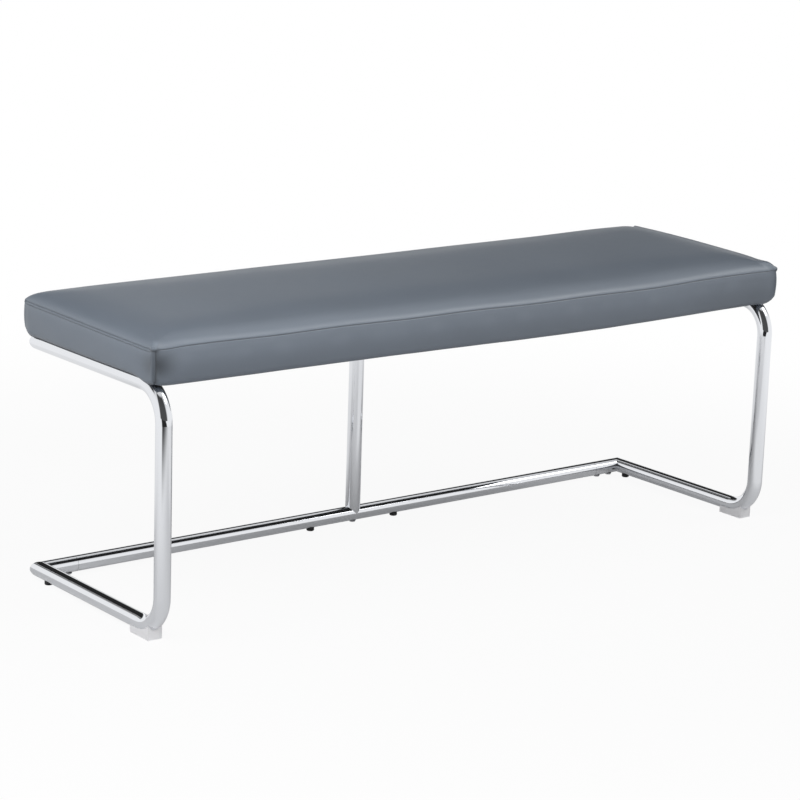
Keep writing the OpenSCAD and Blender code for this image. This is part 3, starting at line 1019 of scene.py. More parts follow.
@dataclass(frozen=True)
class Top:
    """The top of the seat: a seam that sags along the front and a crown that is domed and tilted.

    Attributes:
        base: Height added everywhere.
        rear_rise: How much higher the seam is at the rear.
        sag: How far the front seam sags at its lowest.
        sag_middle: X of that place from the seat's middle.
        sag_width: Width of the sag.
        fall: How much lower the front seam lies up to the right end.
        right_end: Where the right end begins and is reached.
        wave: Slow wave of the front seam.
        corner_sag: How far the front seam dips beside its corners.
        corner_inset: Distance of that dip from the ends.
        corner_width: Width of that dip.
        end_lift: How much higher the right end is at the rear.
        front_lift: Share of that at its front.
        crown: Height of the soft crown inside the shoulder.
        crown_powers: Powers with which the crown falls to the long sides and to the ends.
        tilt: How much higher the crown is at the right end than at the middle.
        left_tilt: Share of the tilt that goes on to the left.
        fall_depth: How far the crown falls away at the front right corner.
        fall_inset: Distance of that place from the right end.
        fall_length: How far it reaches along the bench.
        fall_width: How far it reaches from the front.
    """

    base: float = -0.6 * MM
    rear_rise: float = 3.6 * MM
    sag: float = 3.2 * MM
    sag_middle: float = 230 * MM
    sag_width: float = 330 * MM
    fall: float = 1.2 * MM
    right_end: Border = (350 * MM, 550 * MM)
    wave: Wave = Wave(245 * MM, 2 * math.pi * 165 / 245 + math.pi / 2, 0.6 * MM)
    corner_sag: float = 1.2 * MM
    corner_inset: float = 22 * MM
    corner_width: float = 16 * MM
    end_lift: float = 1.7 * MM
    front_lift: float = 0.25
    crown: float = 2.6 * MM
    crown_powers: tuple[float, float] = (2.4, 6.0)
    tilt: float = 1.4 * MM
    left_tilt: float = 0.2
    fall_depth: float = 1.9 * MM
    fall_inset: float = 6 * MM
    fall_length: float = 26 * MM
    fall_width: float = 24 * MM

    def seam_rise(self, outline: Outline, x: np.ndarray, y: np.ndarray) -> np.ndarray:
        """Height of the seam over its plain height.

        It rises smoothly to the rear. Along the front it sags on a bell curve with a
        slow wave, and both die away with the square of the share to the rear.

        Args:
            outline: Plan of the seat.
            x: Distance from the seat's middle along it.
            y: Distance from the seat's middle across it.

        Returns:
            The heights.
        """
        across = ramp(y, -outline.half_depth, outline.half_depth)
        end = ease(x, *self.right_end)
        sag = self.sag * bell(x, self.sag_middle, self.sag_width) + self.fall * (1.0 - end)
        near_corner = bell(np.abs(x), outline.half_length - self.corner_inset, self.corner_width)
        sag = (sag + self.wave.at(x) + self.corner_sag * near_corner) * (1 - across) ** 2
        rise = self.rear_rise * ease(y, -outline.half_depth, outline.half_depth)
        lift = self.end_lift * end * (self.front_lift + (1.0 - self.front_lift) * across)
        return rise - sag + lift + self.base

    def crown_rise(self, outline: Outline, x: np.ndarray, y: np.ndarray) -> np.ndarray:
        """Height of the crown over its plain height.

        The dome is the product of one minus a power of each plan share, and the tilt
        is straight. The front right corner falls away on a bell curve.

        Args:
            outline: Plan of the seat.
            x: Distance from the seat's middle along it.
            y: Distance from the seat's middle across it.

        Returns:
            The heights.
        """
        across = np.clip(np.abs(y) / outline.half_depth, 0, 1)
        along = np.clip(np.abs(x) / outline.half_length, 0, 1)
        side_power, end_power = self.crown_powers
        dome = self.crown * (1 - across**side_power) * (1 - along**end_power)
        share = x / outline.half_length
        tilt = self.tilt * np.maximum(share, self.left_tilt * share)
        fall = bell(x, outline.half_length - self.fall_inset, self.fall_length)
        fall = fall * bell(y, self.fall_width - outline.half_depth, self.fall_width)
        return dome + tilt - self.fall_depth * fall


@dataclass
class Cushion:
    """Leather box cushion over foam and board, crowned, with a lip that hangs in front of the frame.

    Attributes:
        half_length: Half length to the seam.
        half_depth: Half depth to the seam.
        middle_x: X of the seat's middle.
        middle_y: Y of the seat's middle.
        tube_top: Height of the top of the tubes.
        band: Height of the band at the corners, from the lip to the seam.
        lip_drop: How far the lip of a long side hangs below the tubes.
        shoulder_width: Width of the rounded shoulder.
        shoulder_height: Height of the rounded shoulder.
        swell: How far the band swells.
        corner_growth: How fast the radius of the corners grows above the seam, per inset.
        least_corner: Smallest radius of the corners below it.
        edge_radius: Radius of the lower edge.
        edge_draw: How far the lower edge turns in.
        lip_width: Width of the lip.
        hem: Width of leather turned in under the board.
        hem_gap: Height of the hem above the tubes.
        board_t: Thickness of the board, with its clearance.
        board_edge: How far the board's edge lies inside the seam.
        tube_x: Distance of the side tubes' axes from the middle.
        tube_r: Radius of the tubes.
        tube_gap: Clearance of the leather round the tubes.
        bend_r: Radius of the bends.
        bend_y: Y of the bends' middle.
        end_line: Distance of the second stitched line of an end below the seam.
        swell_share: Share of the cloth run's movement that is used.
        swell_end: Where that movement begins to die away down the band, and ends.
        lower_edge: Shape of the lips.
        top: Shape of the seam and the crown.
        outline: Plan of the seat.
    """

    half_length: float = 619 * MM
    half_depth: float = 185 * MM
    middle_x: float = 3 * MM
    middle_y: float = 4 * MM
    tube_top: float = 391 * MM
    band: float = 57.9 * MM
    lip_drop: float = 10.9 * MM
    shoulder_width: float = 40 * MM
    shoulder_height: float = 16.8 * MM
    swell: float = 2.5 * MM
    corner_growth: float = 0.5
    least_corner: float = 2 * MM
    edge_radius: float = 9 * MM
    edge_draw: float = 7 * MM
    lip_width: float = 10 * MM
    hem: float = 60 * MM
    hem_gap: float = 0.6 * MM
    board_t: float = 12.3 * MM
    board_edge: float = 4.8 * MM
    tube_x: float = 600 * MM
    tube_r: float = 12.5 * MM
    tube_gap: float = 0.5 * MM
    bend_r: float = 52 * MM
    bend_y: float = -133 * MM
    end_line: float = 4.6 * MM
    swell_share: float = 0.5
    swell_end: Border = (40 * MM, 52 * MM)
    lower_edge: LowerEdge = LowerEdge()
    top: Top = Top()
    outline: Outline = field(init=False)

    def __post_init__(self) -> None:
        """Makes the plan from the seat's sizes."""
        self.outline = Outline(self.half_length, self.half_depth)

    @property
    def lip_z(self) -> float:
        """Height of the lip of a long side at the corners."""
        return self.tube_top - self.lip_drop

    @property
    def seam_z(self) -> float:
        """Height of the top seam."""
        return self.lip_z + self.band

    def rows(self) -> Rows:
        """Cross-section of the seat.

        The shoulder's height share is (1 - (1 - t)^2.6)^0.625 of its width share t. The
        band swells as 4 t (1 - t) of its height share t, and its lower edge turns in on
        a quarter of an ellipse. Then come the lip, the hem under the board, and the foam
        that lies on the board.

        Returns:
            The rows, from the middle of the crown to the middle of the board.
        """
        crown_insets = np.array([185, 180, 170, 158, 145, 132, 119, 105, 92, 80, 69, 59, 50, 44.5]) * MM
        turn = [100, 86, 72, 60, 50, 41, 33, 26.5, 21, 16.5, 12.5, 9, 6.2, 4, 2.5, 1.5, 0.8, 0.36, 0.12, 0]
        turn = np.array(turn) / 100
        drops = [0.4, 0.9, 1.5, 2.2, 3.0, 3.8, 4.6, 5.4, 6.4, 8, 10, 12.5]
        drops = np.array([*drops, 15.5, 19, 23, 27, 31, 35, 39, 42.5, 45.5, 47.5]) * MM
        edge = np.radians([0, 12, 24, 36, 48, 60, 71, 81, 90])
        flat = np.c_[crown_insets, np.full(len(crown_insets), self.band + self.shoulder_height)]
        rise = (1 - (1 - turn) ** 2.6) ** 0.625
        above = np.c_[self.shoulder_width * turn, self.band + self.shoulder_height * rise]
        band_up = np.r_[self.band - drops, self.edge_radius * (1 - np.sin(edge))]
        draw = np.r_[np.zeros(len(drops)), self.edge_draw * (1 - np.cos(edge))]
        share = band_up / self.band
        below = np.c_[draw - self.swell * 4 * share * (1 - share), band_up]
        hem = self.lip_drop + self.hem_gap
        board_under, board_over = hem + self.hem_gap, hem + self.hem_gap + self.board_t
        turned_in = [
            [self.lip_width - self.hem_gap, 0.0],
            [self.lip_width, 2 * self.hem_gap],
            [self.lip_width, hem - self.hem_gap],
            [self.lip_width + self.hem_gap, hem],
            [self.hem * 0.5, hem],
            [self.hem, hem],
        ]
        on_board = [
            [self.hem, board_under],
            [self.board_edge, board_under],
            [self.board_edge, board_over],
            [self.half_depth * 0.6, board_over],
            [self.half_depth, board_over],
        ]
        inside = np.array(turned_in + on_board)
        inset, height = np.concatenate([flat, above, below, inside]).T
        seam = len(flat) + len(above) - 1
        lip = seam + len(below)
        lower = np.r_[np.zeros(seam + 1), 1 - share, 1.0, 1.0, np.zeros(len(inside) - 2)]
        upper = np.r_[np.ones(seam + 1), share, np.zeros(len(inside))]
        number = np.arange(len(inset))
        corner = self.outline.corner
        tight = np.maximum(corner - inset, self.least_corner)
        radius = np.where(number <= seam, corner + self.corner_growth * inset, tight)
        walked = np.r_[0.0, np.cumsum(np.hypot(np.diff(inset), np.diff(height)))]
        foam = number >= lip + len(turned_in)
        return Rows(inset, height, lower, upper, radius, walked - walked[seam], foam)

    def base(self, rows: Rows) -> np.ndarray:
        """Places of all points before any softening.

        Height is the row's own plus its shares of the lower edge's and the seam's own
        shapes, and from the shoulder up the crown's shape is added.

        Args:
            rows: The cross-section.

        Returns:
            Array of rows by points by 3.
        """
        plan = self.outline.plan(rows.inset, rows.radius)
        x, y = plan[..., 0], plan[..., 1]
        z = self.lip_z + rows.height[:, None]
        z = z + rows.lower[:, None] * self.lower_edge.heights(self.outline)[None, :]
        z = z + rows.upper[:, None] * self.top.seam_rise(self.outline, x, y)
        near = ramp(rows.height, self.band, self.band + self.shoulder_height) * (rows.down <= TINY)
        z = z + near[:, None] * self.top.crown_rise(self.outline, x, y)
        return np.stack([x + self.middle_x, y + self.middle_y, z], axis=-1)

    def rest_on_tubes(self, points: np.ndarray) -> np.ndarray:
        """Presses the leather off the side tubes that it rests on.

        A point inside the clearance round a tube's axis is moved straight away from
        the axis, which runs level and then down round the front bend.

        Args:
            points: Places of all points.

        Returns:
            The places, clear of the tubes.
        """
        reach = self.tube_r + self.tube_gap
        tube_z = self.tube_top - self.tube_r
        centre_z = tube_z - self.bend_r
        dy = np.minimum(points[..., 1] - self.bend_y, 0.0)
        dz = np.maximum(points[..., 2] - centre_z, TINY)
        ratio = self.bend_r / np.hypot(dy, dz)
        on_axis = np.stack(
            [
                np.where(points[..., 0] < 0, -self.tube_x, self.tube_x),
                np.where(dy < 0, self.bend_y + dy * ratio, points[..., 1]),
                np.where(dy < 0, centre_z + dz * ratio, tube_z),
            ],
            axis=-1,
        )
        away = points - on_axis
        gap = np.linalg.norm(away, axis=-1, keepdims=True)
        return on_axis + away * np.where(gap < reach, reach / np.maximum(gap, TINY), 1.0)

    def assemble(self) -> None:
        """Builds and dresses the cushion and its stitches, in place of the cover and the foam."""
        rows = self.rows()
        points = self.base(rows)
        drift = SwellRun().drift(self)
        if drift is not None:
            share = (1.0 - ramp(rows.down, *self.swell_end)) * (rows.down < self.band)
            points = points + drift.at(points) * share[:, None, None] * self.swell_share
        sewing = Sewing(self, rows)
        points = self.rest_on_tubes(points - grid_normals(points) * sewing.sink[..., None])
        cushion = mesh_object("seat_cushion", points, grid_faces(len(rows.inset), self.outline.count))
        # Masks of painted shade and painted highlight for the leather's colour.
        for name, values in (("painted_shade", sewing.painted_shade), ("painted_highlight", sewing.painted_highlight)):
            layer = cushion.data.attributes.new(name, "FLOAT", "POINT")
            layer.data.foreach_set("value", values.ravel().astype(np.float32))
        kinds = np.repeat(rows.foam[:-1], self.outline.count).astype(np.int32)
        cushion.data.polygons.foreach_set("material_index", kinds)
        close_doubles(cushion)
        dress(cushion, GreyLeather().material(), CutFoam().material())
        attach(cushion, BODY)
        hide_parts("seat_cover", "foam_pad")
        LOG.info("cushion: %d faces", len(cushion.data.polygons))
        Stitching().assemble(self, rows, points)


@dataclass(frozen=True)
class SwellRun:
    """A cloth run that blows up a plain copy of the seat a little.

    Attributes:
        inside: How far the copy lies inside the seat.
        cell: Size of the copy's cells.
        seam_reach: How far in from the sides the copy is held at the seam.
        seam_half: Half height of the strip that is held there.
        hem_over: Height above the tubes up to which it is held below.
        pressure: Pressure from inside.
        stretch: Stiffness against stretch and squeeze.
        bending: Stiffness against bending.
        frames: Length of the run.
        most: Largest movement that is kept.
        field_cell: Size of a cell of the smoothed movement.
        passes: Number of blurs.
    """

    inside: float = 1.5 * MM
    cell: float = 6 * MM
    seam_reach: float = 6 * MM
    seam_half: float = 3.5 * MM
    hem_over: float = 4 * MM
    pressure: float = 4.0
    stretch: float = 30.0
    bending: float = 2.0
    frames: int = 20
    most: float = 8 * MM
    field_cell: float = 12 * MM
    passes: int = 3

    def form(self, cushion: Cushion) -> bpy.types.Mesh:
        """Makes the plain copy: a closed form in even cells.

        Args:
            cushion: The seat.

        Returns:
            Its mesh.
        """
        size = (cushion.half_length - self.inside, cushion.half_depth - self.inside)
        plan = Outline(*size, long_steps=80, short_steps=26, corner_steps=5)
        inset = np.array([183, 120, 60, 20, 12, 5, 1, 0, -1, -1, 4, 9, 60, 183]) * MM
        height = np.array([17, 17, 17, 17, 15.5, 11, 4, 0, -14, -34, -50, -54, -54, -54]) * MM
        flat = plan.plan(inset, np.maximum(plan.corner - inset * 0.3, 3 * MM))
        z = np.broadcast_to((height + cushion.seam_z)[:, None, None], (*flat.shape[:2], 1))
        points = np.concatenate([flat + [cushion.middle_x, cushion.middle_y], z], axis=-1)
        plain = mesh_object("swell_form", points, grid_faces(len(inset), plan.count))
        close_doubles(plain)
        remesh = plain.modifiers.new("even", "REMESH")
        remesh.mode, remesh.voxel_size = "VOXEL", self.cell
        graph = bpy.context.evaluated_depsgraph_get()
        even = bpy.data.meshes.new_from_object(plain.evaluated_get(graph))
        bpy.data.objects.remove(plain)
        return even

    def held(self, cushion: Cushion, start: np.ndarray) -> np.ndarray:
        """Numbers of the points that stay where they are: those at the seam and below the board.

        Args:
            cushion: The seat.
            start: Places of the copy's points.

        Returns:
            The numbers.
        """
        out_x = np.abs(start[:, 0] - cushion.middle_x) - cushion.half_length
        out_y = np.abs(start[:, 1] - cushion.middle_y) - cushion.half_depth
        on_seam = np.maximum(out_x, out_y) > -self.seam_reach
        on_seam &= np.abs(start[:, 2] - cushion.seam_z) < self.seam_half
        return np.flatnonzero((start[:, 2] < cushion.tube_top + self.hem_over) | on_seam)

    def drift(self, cushion: Cushion) -> DriftField | None:
        """Runs the cloth, held at the seam and below the board, without gravity.

        Args:
            cushion: The seat.
        """
        even = self.form(cushion)
        cloth = bpy.data.objects.new("swell_cloth", even)
        scene = bpy.context.scene
        scene.collection.objects.link(cloth)
        start = points_of(even)
        group = cloth.vertex_groups.new(name="held")
        group.add(self.held(cushion, start).tolist(), 1.0, "REPLACE")
        cover = cloth.modifiers.new("cover", "CLOTH")
        cover.settings.vertex_group_mass = "held"
        cover.settings.use_pressure = True
        cover.settings.uniform_pressure_force = self.pressure
        cover.settings.tension_stiffness = cover.settings.compression_stiffness = self.stretch
        cover.settings.bending_stiffness = self.bending
        cover.settings.effector_weights.gravity = 0.0
        cover.point_cache.frame_start, cover.point_cache.frame_end = 1, self.frames
        for frame in range(1, self.frames + 1):
            scene.frame_set(frame)
        graph = bpy.context.evaluated_depsgraph_get()
        moves = points_of(cloth.evaluated_get(graph).data) - start
        bpy.data.objects.remove(cloth)
        scene.frame_set(1)
        size = np.linalg.norm(moves, axis=1, keepdims=True)
        LOG.info("cloth: %d points, mean %.1f mm", len(start), size.mean() / MM)
        moves *= np.minimum(1.0, self.most / np.maximum(size, TINY))
        return DriftField.from_points(start, moves, self.field_cell, self.passes)


@dataclass(frozen=True)
class CornerSeam:
    """How the leather is drawn in at an upright corner of the band.

    Attributes:
        groove: Share of the depth and of the painted shade of the two grooves beside the strip.
        hollow: Depth of the hollow beside the strip on the long side.
        long_shade: Strength of the painted shade in that hollow.
        end_shade: Strength of the painted shade in the slight hollow on the end.
        strip_shade: Strength of the painted shade on the strip.
        ear: How far the top of the corner stands out.
        taper: How far the corner is drawn in, all the way up.
        foot_taper: How much further at its foot.
    """

    groove: float
    hollow: float
    long_shade: float
    end_shade: float
    strip_shade: float
    ear: float
    taper: float
    foot_taper: float


TIGHT_CORNER = CornerSeam(1.0, 10 * MM, 0.93, 0.58, 0.62, 3.4 * MM, -1.2 * MM, 0.0)
PLAIN_CORNER = CornerSeam(0.5, 5 * MM, 0.25, 0.12, 0.15, 3.4 * MM, -1.2 * MM, 0.0)
REAR_CORNER = CornerSeam(0.5, 10 * MM, 0.25, 0.12, 0.15, 1.0 * MM, 1.6 * MM, 1.8 * MM)


@dataclass
class Sewing:
    """Seams, stitched lines, puckers, painted shade and painted highlights of the leather, over rows and
    outline.

    Attributes:
        cushion: The cushion.
        rows: Its cross-section.
        strip: Width of the upright strip on each corner.
        seam_groove: Depth of the top seam.
        seam_line: Painted shade along the top seam.
        line_groove: Depth of the second line of an end.
        line_width: Half width of that line.
        line_share: Painted shade along that line.
        line_roll: How far the leather between the two lines rises.
        line_roll_half: Half width of that roll.
        line_highlight: Painted highlight below the second line.
        end_seam_share: Share of the seam's painted shade that it has on the ends.
        upper_roll: Place of the painted highlight just above the seam.
        upper_highlights: Its strength everywhere, its gain at the front and its gain at the front's right.
        crown_roll: Painted highlight on the shoulder of the front.
        lower_roll: Place of the painted highlight just below the seam.
        lower_highlights: Its strength everywhere and its gain at the front.
        front_roll: Rippled painted highlight on the front.
        front_power: Power with which the painted highlight of the front dies away to its ends.
        ripple_share: How strongly its ripples show.
        right_highlight: Where the painted highlight at the front's right begins, as shares of the half
            length.
        hem_line: Heights above the lip over which the lower edge takes painted shade.
        hem_shades: Strength of that painted shade on the long sides and on the ends.
        foot_from: Where painted shade begins on the foot of the front, below the seam.
        foot_shade: How dark that painted shade turns.
        right_from: Where painted shade begins at the front's right, as shares of the half length.
        right_below: Where that begins, below the seam.
        right_shade: How dark that painted shade turns.
        puckers: Fine puckers below the seam.
        pucker_from: Distance below the seam from which they die away.
        pucker_reach: How far down they reach.
        pucker_least: Smallest share of them along the seam.
        pucker_swell: Slow wave of the rest.
        ripples: Waves of the painted highlight on the front.
        buckles: Slow waves of the band, of half a wave and a whole one down it.
        buckle_height: Height of the band that those waves fill.
        plump: How far the shoulder of the right end is fuller.
        plump_rear: How much more it is at its rear.
        plump_from: Share of the end, from its middle to the front, at which that begins.
        plump_place: Place of the fuller shoulder.
        faint_line: Share of the strip's outer groove down the band, in depth and in painted shade.
        groove_halves: Half widths of the outer and the inner groove.
        groove_depth: Depth of the two grooves.
        strip_top: Distances below the seam over which the strip begins.
        strip_foot: Distances below the band over which it ends.
        strip_half: Half width of the strip's own rise.
        strip_power: How steeply that rise ends.
        strip_rise: How far the strip rises.
        belly: Where down the band the hollows beside a corner lie.
        long_hollow: Distances over which the hollow on the long side rises and dies away.
        end_hollow: The same distances on the end.
        end_hollow_depth: Depth of the hollow on the end.
        shade_reaches: How far the painted shade of the two hollows reaches.
        shade_powers: How steeply it ends.
        pinch: Where down the band a corner is pinched, with painted shade there.
        ear: Where the top of a corner stands out.
        tuck_half: Half width of both.
        taper_half: How far a corner is drawn in, along the outline and up.
        down: Distance of each point below the seam.
        along: Distance of each point along the seam.
        on_end: Whether each point of the outline is on an end.
        front: How far each point of the outline is on the front.
        sink: How far each point sinks.
        painted_shade: How much painted shade each point has.
        painted_highlight: How much painted highlight each point has.
    """

    cushion: Cushion
    rows: Rows
    strip: float = 5.2 * MM
    seam_groove: Bell = Bell(0.0, 0.9 * MM, 0.75 * MM)
    seam_line: Bell = Bell(0.0, 0.75 * MM, 0.67)
    line_groove: float = 0.6 * MM
    line_width: float = 0.75 * MM
    line_share: float = 0.5
    line_roll: float = 0.3 * MM
    line_roll_half: float = 1.3 * MM
    line_highlight: Bell = Bell(7.1 * MM, 2 * MM, 0.22)
    end_seam_share: float = 0.75
    upper_roll: Bell = Bell(-6.5 * MM, 6.5 * MM, 1.0)
    upper_highlights: tuple[float, float, float] = (0.36, 0.36, 0.28)
    crown_roll: Bell = Bell(-14 * MM, 30 * MM, 0.48)
    lower_roll: Bell = Bell(5 * MM, 7 * MM, 1.0)
    lower_highlights: tuple[float, float] = (0.26, 0.10)
    front_roll: Bell = Bell(13 * MM, 15 * MM, 0.21)
    front_power: float = 8.0
    ripple_share: float = 0.7
    right_highlight: Border = (0.72, 0.86)
    hem_line: Border = (3.5 * MM, 0.5 * MM)
    hem_shades: tuple[float, float] = (0.30, 0.84)
    foot_from: Border = (18 * MM, 42 * MM)
    foot_shade: float = 0.16
    right_from: Border = (0.68, 0.92)
    right_below: Border = (0.0, 12 * MM)
    right_shade: float = 0.15
    puckers: Sequence[Wave] = (Wave(5.5 * MM, 0.0, 0.17 * MM), Wave(8.3 * MM, 1.3, 0.102 * MM))
    pucker_from: float = 1 * MM
    pucker_reach: float = 3.5 * MM
    pucker_least: float = 0.35
    pucker_swell: Wave = Wave(290 * MM, 0.7, 0.5)
    ripples: Sequence[Wave] = (Wave(91 * MM, 0.5, 0.6), Wave(57 * MM, 1.9, 0.4))
    buckles: Sequence[Wave] = (Wave(173 * MM, 0.4, 0.45 * MM), Wave(97 * MM, 2.1, 0.22 * MM))
    buckle_height: float = 58 * MM
    plump: float = 3.2 * MM
    plump_rear: float = 1.8 * MM
    plump_from: float = 0.9
    plump_place: Bell = Bell(-13 * MM, 9 * MM, 1.0)
    faint_line: Bell = Bell(12 * MM, 18 * MM, 0.7)
    groove_halves: tuple[float, float] = (0.8 * MM, 1.8 * MM)
    groove_depth: float = 0.9 * MM
    strip_top: Border = (0.0, 2 * MM)
    strip_foot: Border = (-1 * MM, 2 * MM)
    strip_half: float = 2 * MM
    strip_power: float = 6.0
    strip_rise: float = 0.25 * MM
    belly: Bell = Bell(26 * MM, 21 * MM, 1.0)
    long_hollow: tuple[float, float] = (2.5 * MM, 9 * MM)
    end_hollow: tuple[float, float] = (3 * MM, 8 * MM)
    end_hollow_depth: float = 2 * MM
    shade_reaches: tuple[float, float] = (28 * MM, 22 * MM)
    shade_powers: tuple[float, float] = (1.9, 1.5)
    pinch: Bell = Bell(1.5 * MM, 2 * MM, 1.0)
    ear: Bell = Bell(-0.5 * MM, 3 * MM, 1.0)
    tuck_half: float = 5 * MM
    taper_half: float = 12 * MM
    down: np.ndarray = field(init=False)
    along: np.ndarray = field(init=False)
    on_end: np.ndarray = field(init=False)
    front: np.ndarray = field(init=False)
    sink: np.ndarray = field(init=False)
    painted_shade: np.ndarray = field(init=False)
    painted_highlight: np.ndarray = field(init=False)

    def __post_init__(self) -> None:
        """Works out all three surfaces."""
        plan = self.cushion.outline
        shape = (len(self.rows.down), plan.count)
        self.down = np.broadcast_to(self.rows.down[:, None], shape)
        self.along = np.broadcast_to(plan.lengths()[None, :], shape)
        self.on_end = plan.on_side(Side.LEFT, Side.RIGHT)
        self.front = ramp(-plan.seam()[:, 1], plan.half_depth - plan.corner, plan.half_depth)
        self.sink, self.painted_shade, self.painted_highlight = np.zeros((3, *shape))
        self.sew_seam()
        self.highlight_rolls()
        self.shade()
        corners = {Side.REAR: REAR_CORNER, Side.LEFT: REAR_CORNER}
        corners |= {Side.FRONT: TIGHT_CORNER, Side.RIGHT: PLAIN_CORNER}
        for side, seam in corners.items():
            self.sew_corner(side, seam)
        self.pucker()
        leather = (self.rows.down < self.cushion.band + self.cushion.edge_radius)[:, None]
        self.sink = self.sink * leather
        self.painted_shade = np.clip(self.painted_shade, 0, 1) * leather
        self.painted_highlight = np.clip(self.painted_highlight, 0, 1) * leather

    def darken(self, *shares: np.ndarray) -> None:
        """Takes in painted shade where it is stronger than that so far."""
        for share in shares:
            self.painted_shade = np.maximum(self.painted_shade, share)

    def add_highlight(self, *shares: np.ndarray) -> None:
        """Takes in painted highlight where it is stronger than that so far."""
        for share in shares:
            self.painted_highlight = np.maximum(self.painted_highlight, share)

    def sew_seam(self) -> None:
        """Sews the top seam and the second line of the ends: a bell curve about each line."""
        down, end_line = self.down, self.cushion.end_line
        line = bell(down, end_line, self.line_width) * self.on_end
        roll = bell(down, end_line / 2, self.line_roll_half) * self.on_end
        self.sink = self.sink + self.seam_groove.at(down)
        self.sink = self.sink + self.line_groove * line - self.line_roll * roll
        # Painted shade along both lines, and a painted highlight just below the second line.
        seam_line = self.seam_line.at(down) * np.where(self.on_end, self.end_seam_share, 1.0)
        self.darken(seam_line, line * self.line_share)
        self.add_highlight(self.line_highlight.at(down) * self.on_end)

    def highlight_rolls(self) -> None:
        """Paints highlights on the rolls above and below the seam, which the front shows most."""
        plan, down, front = self.cushion.outline, self.down, self.front
        right = front * ramp(plan.share, *self.right_highlight) * ~plan.on_corner
        inner = front * (1 - np.abs(plan.share) ** self.front_power)
        upper, upper_front, upper_right = self.upper_highlights
        lower, lower_front = self.lower_highlights
        ripple = sum(wave.at(self.along) for wave in self.ripples)
        # Painted highlights on the rolls and on the rippled front.
        self.add_highlight(
            (upper + upper_front * front + upper_right * right) * self.upper_roll.at(down),
            inner * self.crown_roll.at(down),
            (lower + lower_front * front) * self.lower_roll.at(down),
            front * self.front_roll.at(down) * (1 + self.ripple_share * ripple),
        )

    def shade(self) -> None:
        """Paints shade on the lower edge, the foot of the front and the front's right end."""
        plan, down, band = self.cushion.outline, self.down, self.cushion.band
        long_shade, end_shade = self.hem_shades
        hem = ramp(down, band - self.hem_line[0], band - self.hem_line[1])
        foot = self.foot_shade * ramp(down, *self.foot_from)
        right = self.right_shade * ramp(plan.share, *self.right_from) * ramp(down, *self.right_below)
        # Painted shade under the lower edge, at the foot of the front and at its right end.
        self.darken(hem * np.where(self.on_end, end_shade, long_shade), self.front * (foot + right))

    def sew_corner(self, side: Side, seam: CornerSeam) -> None:
        """Sews the strip on the corner with which a side begins.

        Its two grooves are bell curves of the distance along the outline. The hollow
        beside it rises steeply from the strip and dies away slowly.

        Args:
            side: The side that begins with the corner.
            seam: How tight the corner is.
        """
        plan, down, band = self.cushion.outline, self.down, self.cushion.band
        total = float(plan.steps().sum())
        middle = float(plan.lengths()[plan.on_corner & (plan.side == side.value)].mean())
        off = (self.along - middle + total / 2) % total - total / 2
        toward = off * (1.0 if side in (Side.FRONT, Side.REAR) else -1.0)
        below = ramp(down, *self.strip_top) * (1.0 - ramp(down - band, *self.strip_foot))
        outer_half, inner_half = self.groove_halves
        groove = bell(toward, -self.strip / 2, outer_half) * self.faint_line.at(down)
        groove = (groove + bell(toward, self.strip / 2, inner_half)) * below * seam.groove
        strip = fading(np.abs(off), self.strip_half, self.strip_power) * below
        belly = self.belly.at(down)
        on_long = np.clip(toward - self.strip / 2, 0.0, None)
        on_short = np.clip(-toward - self.strip / 2, 0.0, None)
        hollow = (1 - fading(on_long, self.long_hollow[0])) * fading(on_long, self.long_hollow[1])
        slight = (1 - fading(on_short, self.end_hollow[0])) * fading(on_short, self.end_hollow[1])
        tuck = bell(off, 0.0, self.tuck_half)
        taper = bell(off, 0.0, self.taper_half) * fading(-down, self.taper_half)
        self.sink = self.sink + self.groove_depth * groove - self.strip_rise * strip
        self.sink = self.sink + (seam.hollow * hollow + self.end_hollow_depth * slight) * belly
        self.sink = self.sink - seam.ear * tuck * self.ear.at(down)
        self.sink = self.sink + (seam.taper + seam.foot_taper * ramp(down, 0.0, band)) * taper
        # Painted shade in the grooves, at the pinch, in both hollows and on the strip.
        long_dark, end_dark = (
            fading(on, reach, power) * (on > 0) * belly
            for on, reach, power in zip((on_long, on_short), self.shade_reaches, self.shade_powers)
        )
        self.darken(
            groove,
            tuck * self.pinch.at(down),
            long_dark * seam.long_shade,
            end_dark * seam.end_shade,
            strip * seam.strip_shade,
        )

    def pucker(self) -> None:
        """Adds the fine puckers below the seam, the fuller right shoulder and the band's slow waves.

        Puckers are sines along the seam that die away below it, and the slow waves are
        products of a sine along the seam and one down the band.
        """
        plan, down, along = self.cushion.outline, self.down, self.along
        swell = (0.5 + self.pucker_swell.at(along)) ** 2
        strength = self.pucker_least + (1.0 - self.pucker_least) * swell
        fade = fading(down - self.pucker_from, self.pucker_reach) * (down > 0) * strength
        self.sink = self.sink + sum(wave.at(along) for wave in self.puckers) * fade
        right = plan.side == Side.RIGHT.value
        to_rear = np.clip(self.plump_from + plan.share, 0.0, 1.0)
        plump = right * (self.plump + self.plump_rear * to_rear)
        self.sink = self.sink - plump * self.plump_place.at(down)
        for halves, wave in enumerate(self.buckles, start=1):
            rows = np.sin(down * halves * math.pi / self.buckle_height) * (down > 0)
            self.sink = self.sink + wave.at(along) * rows


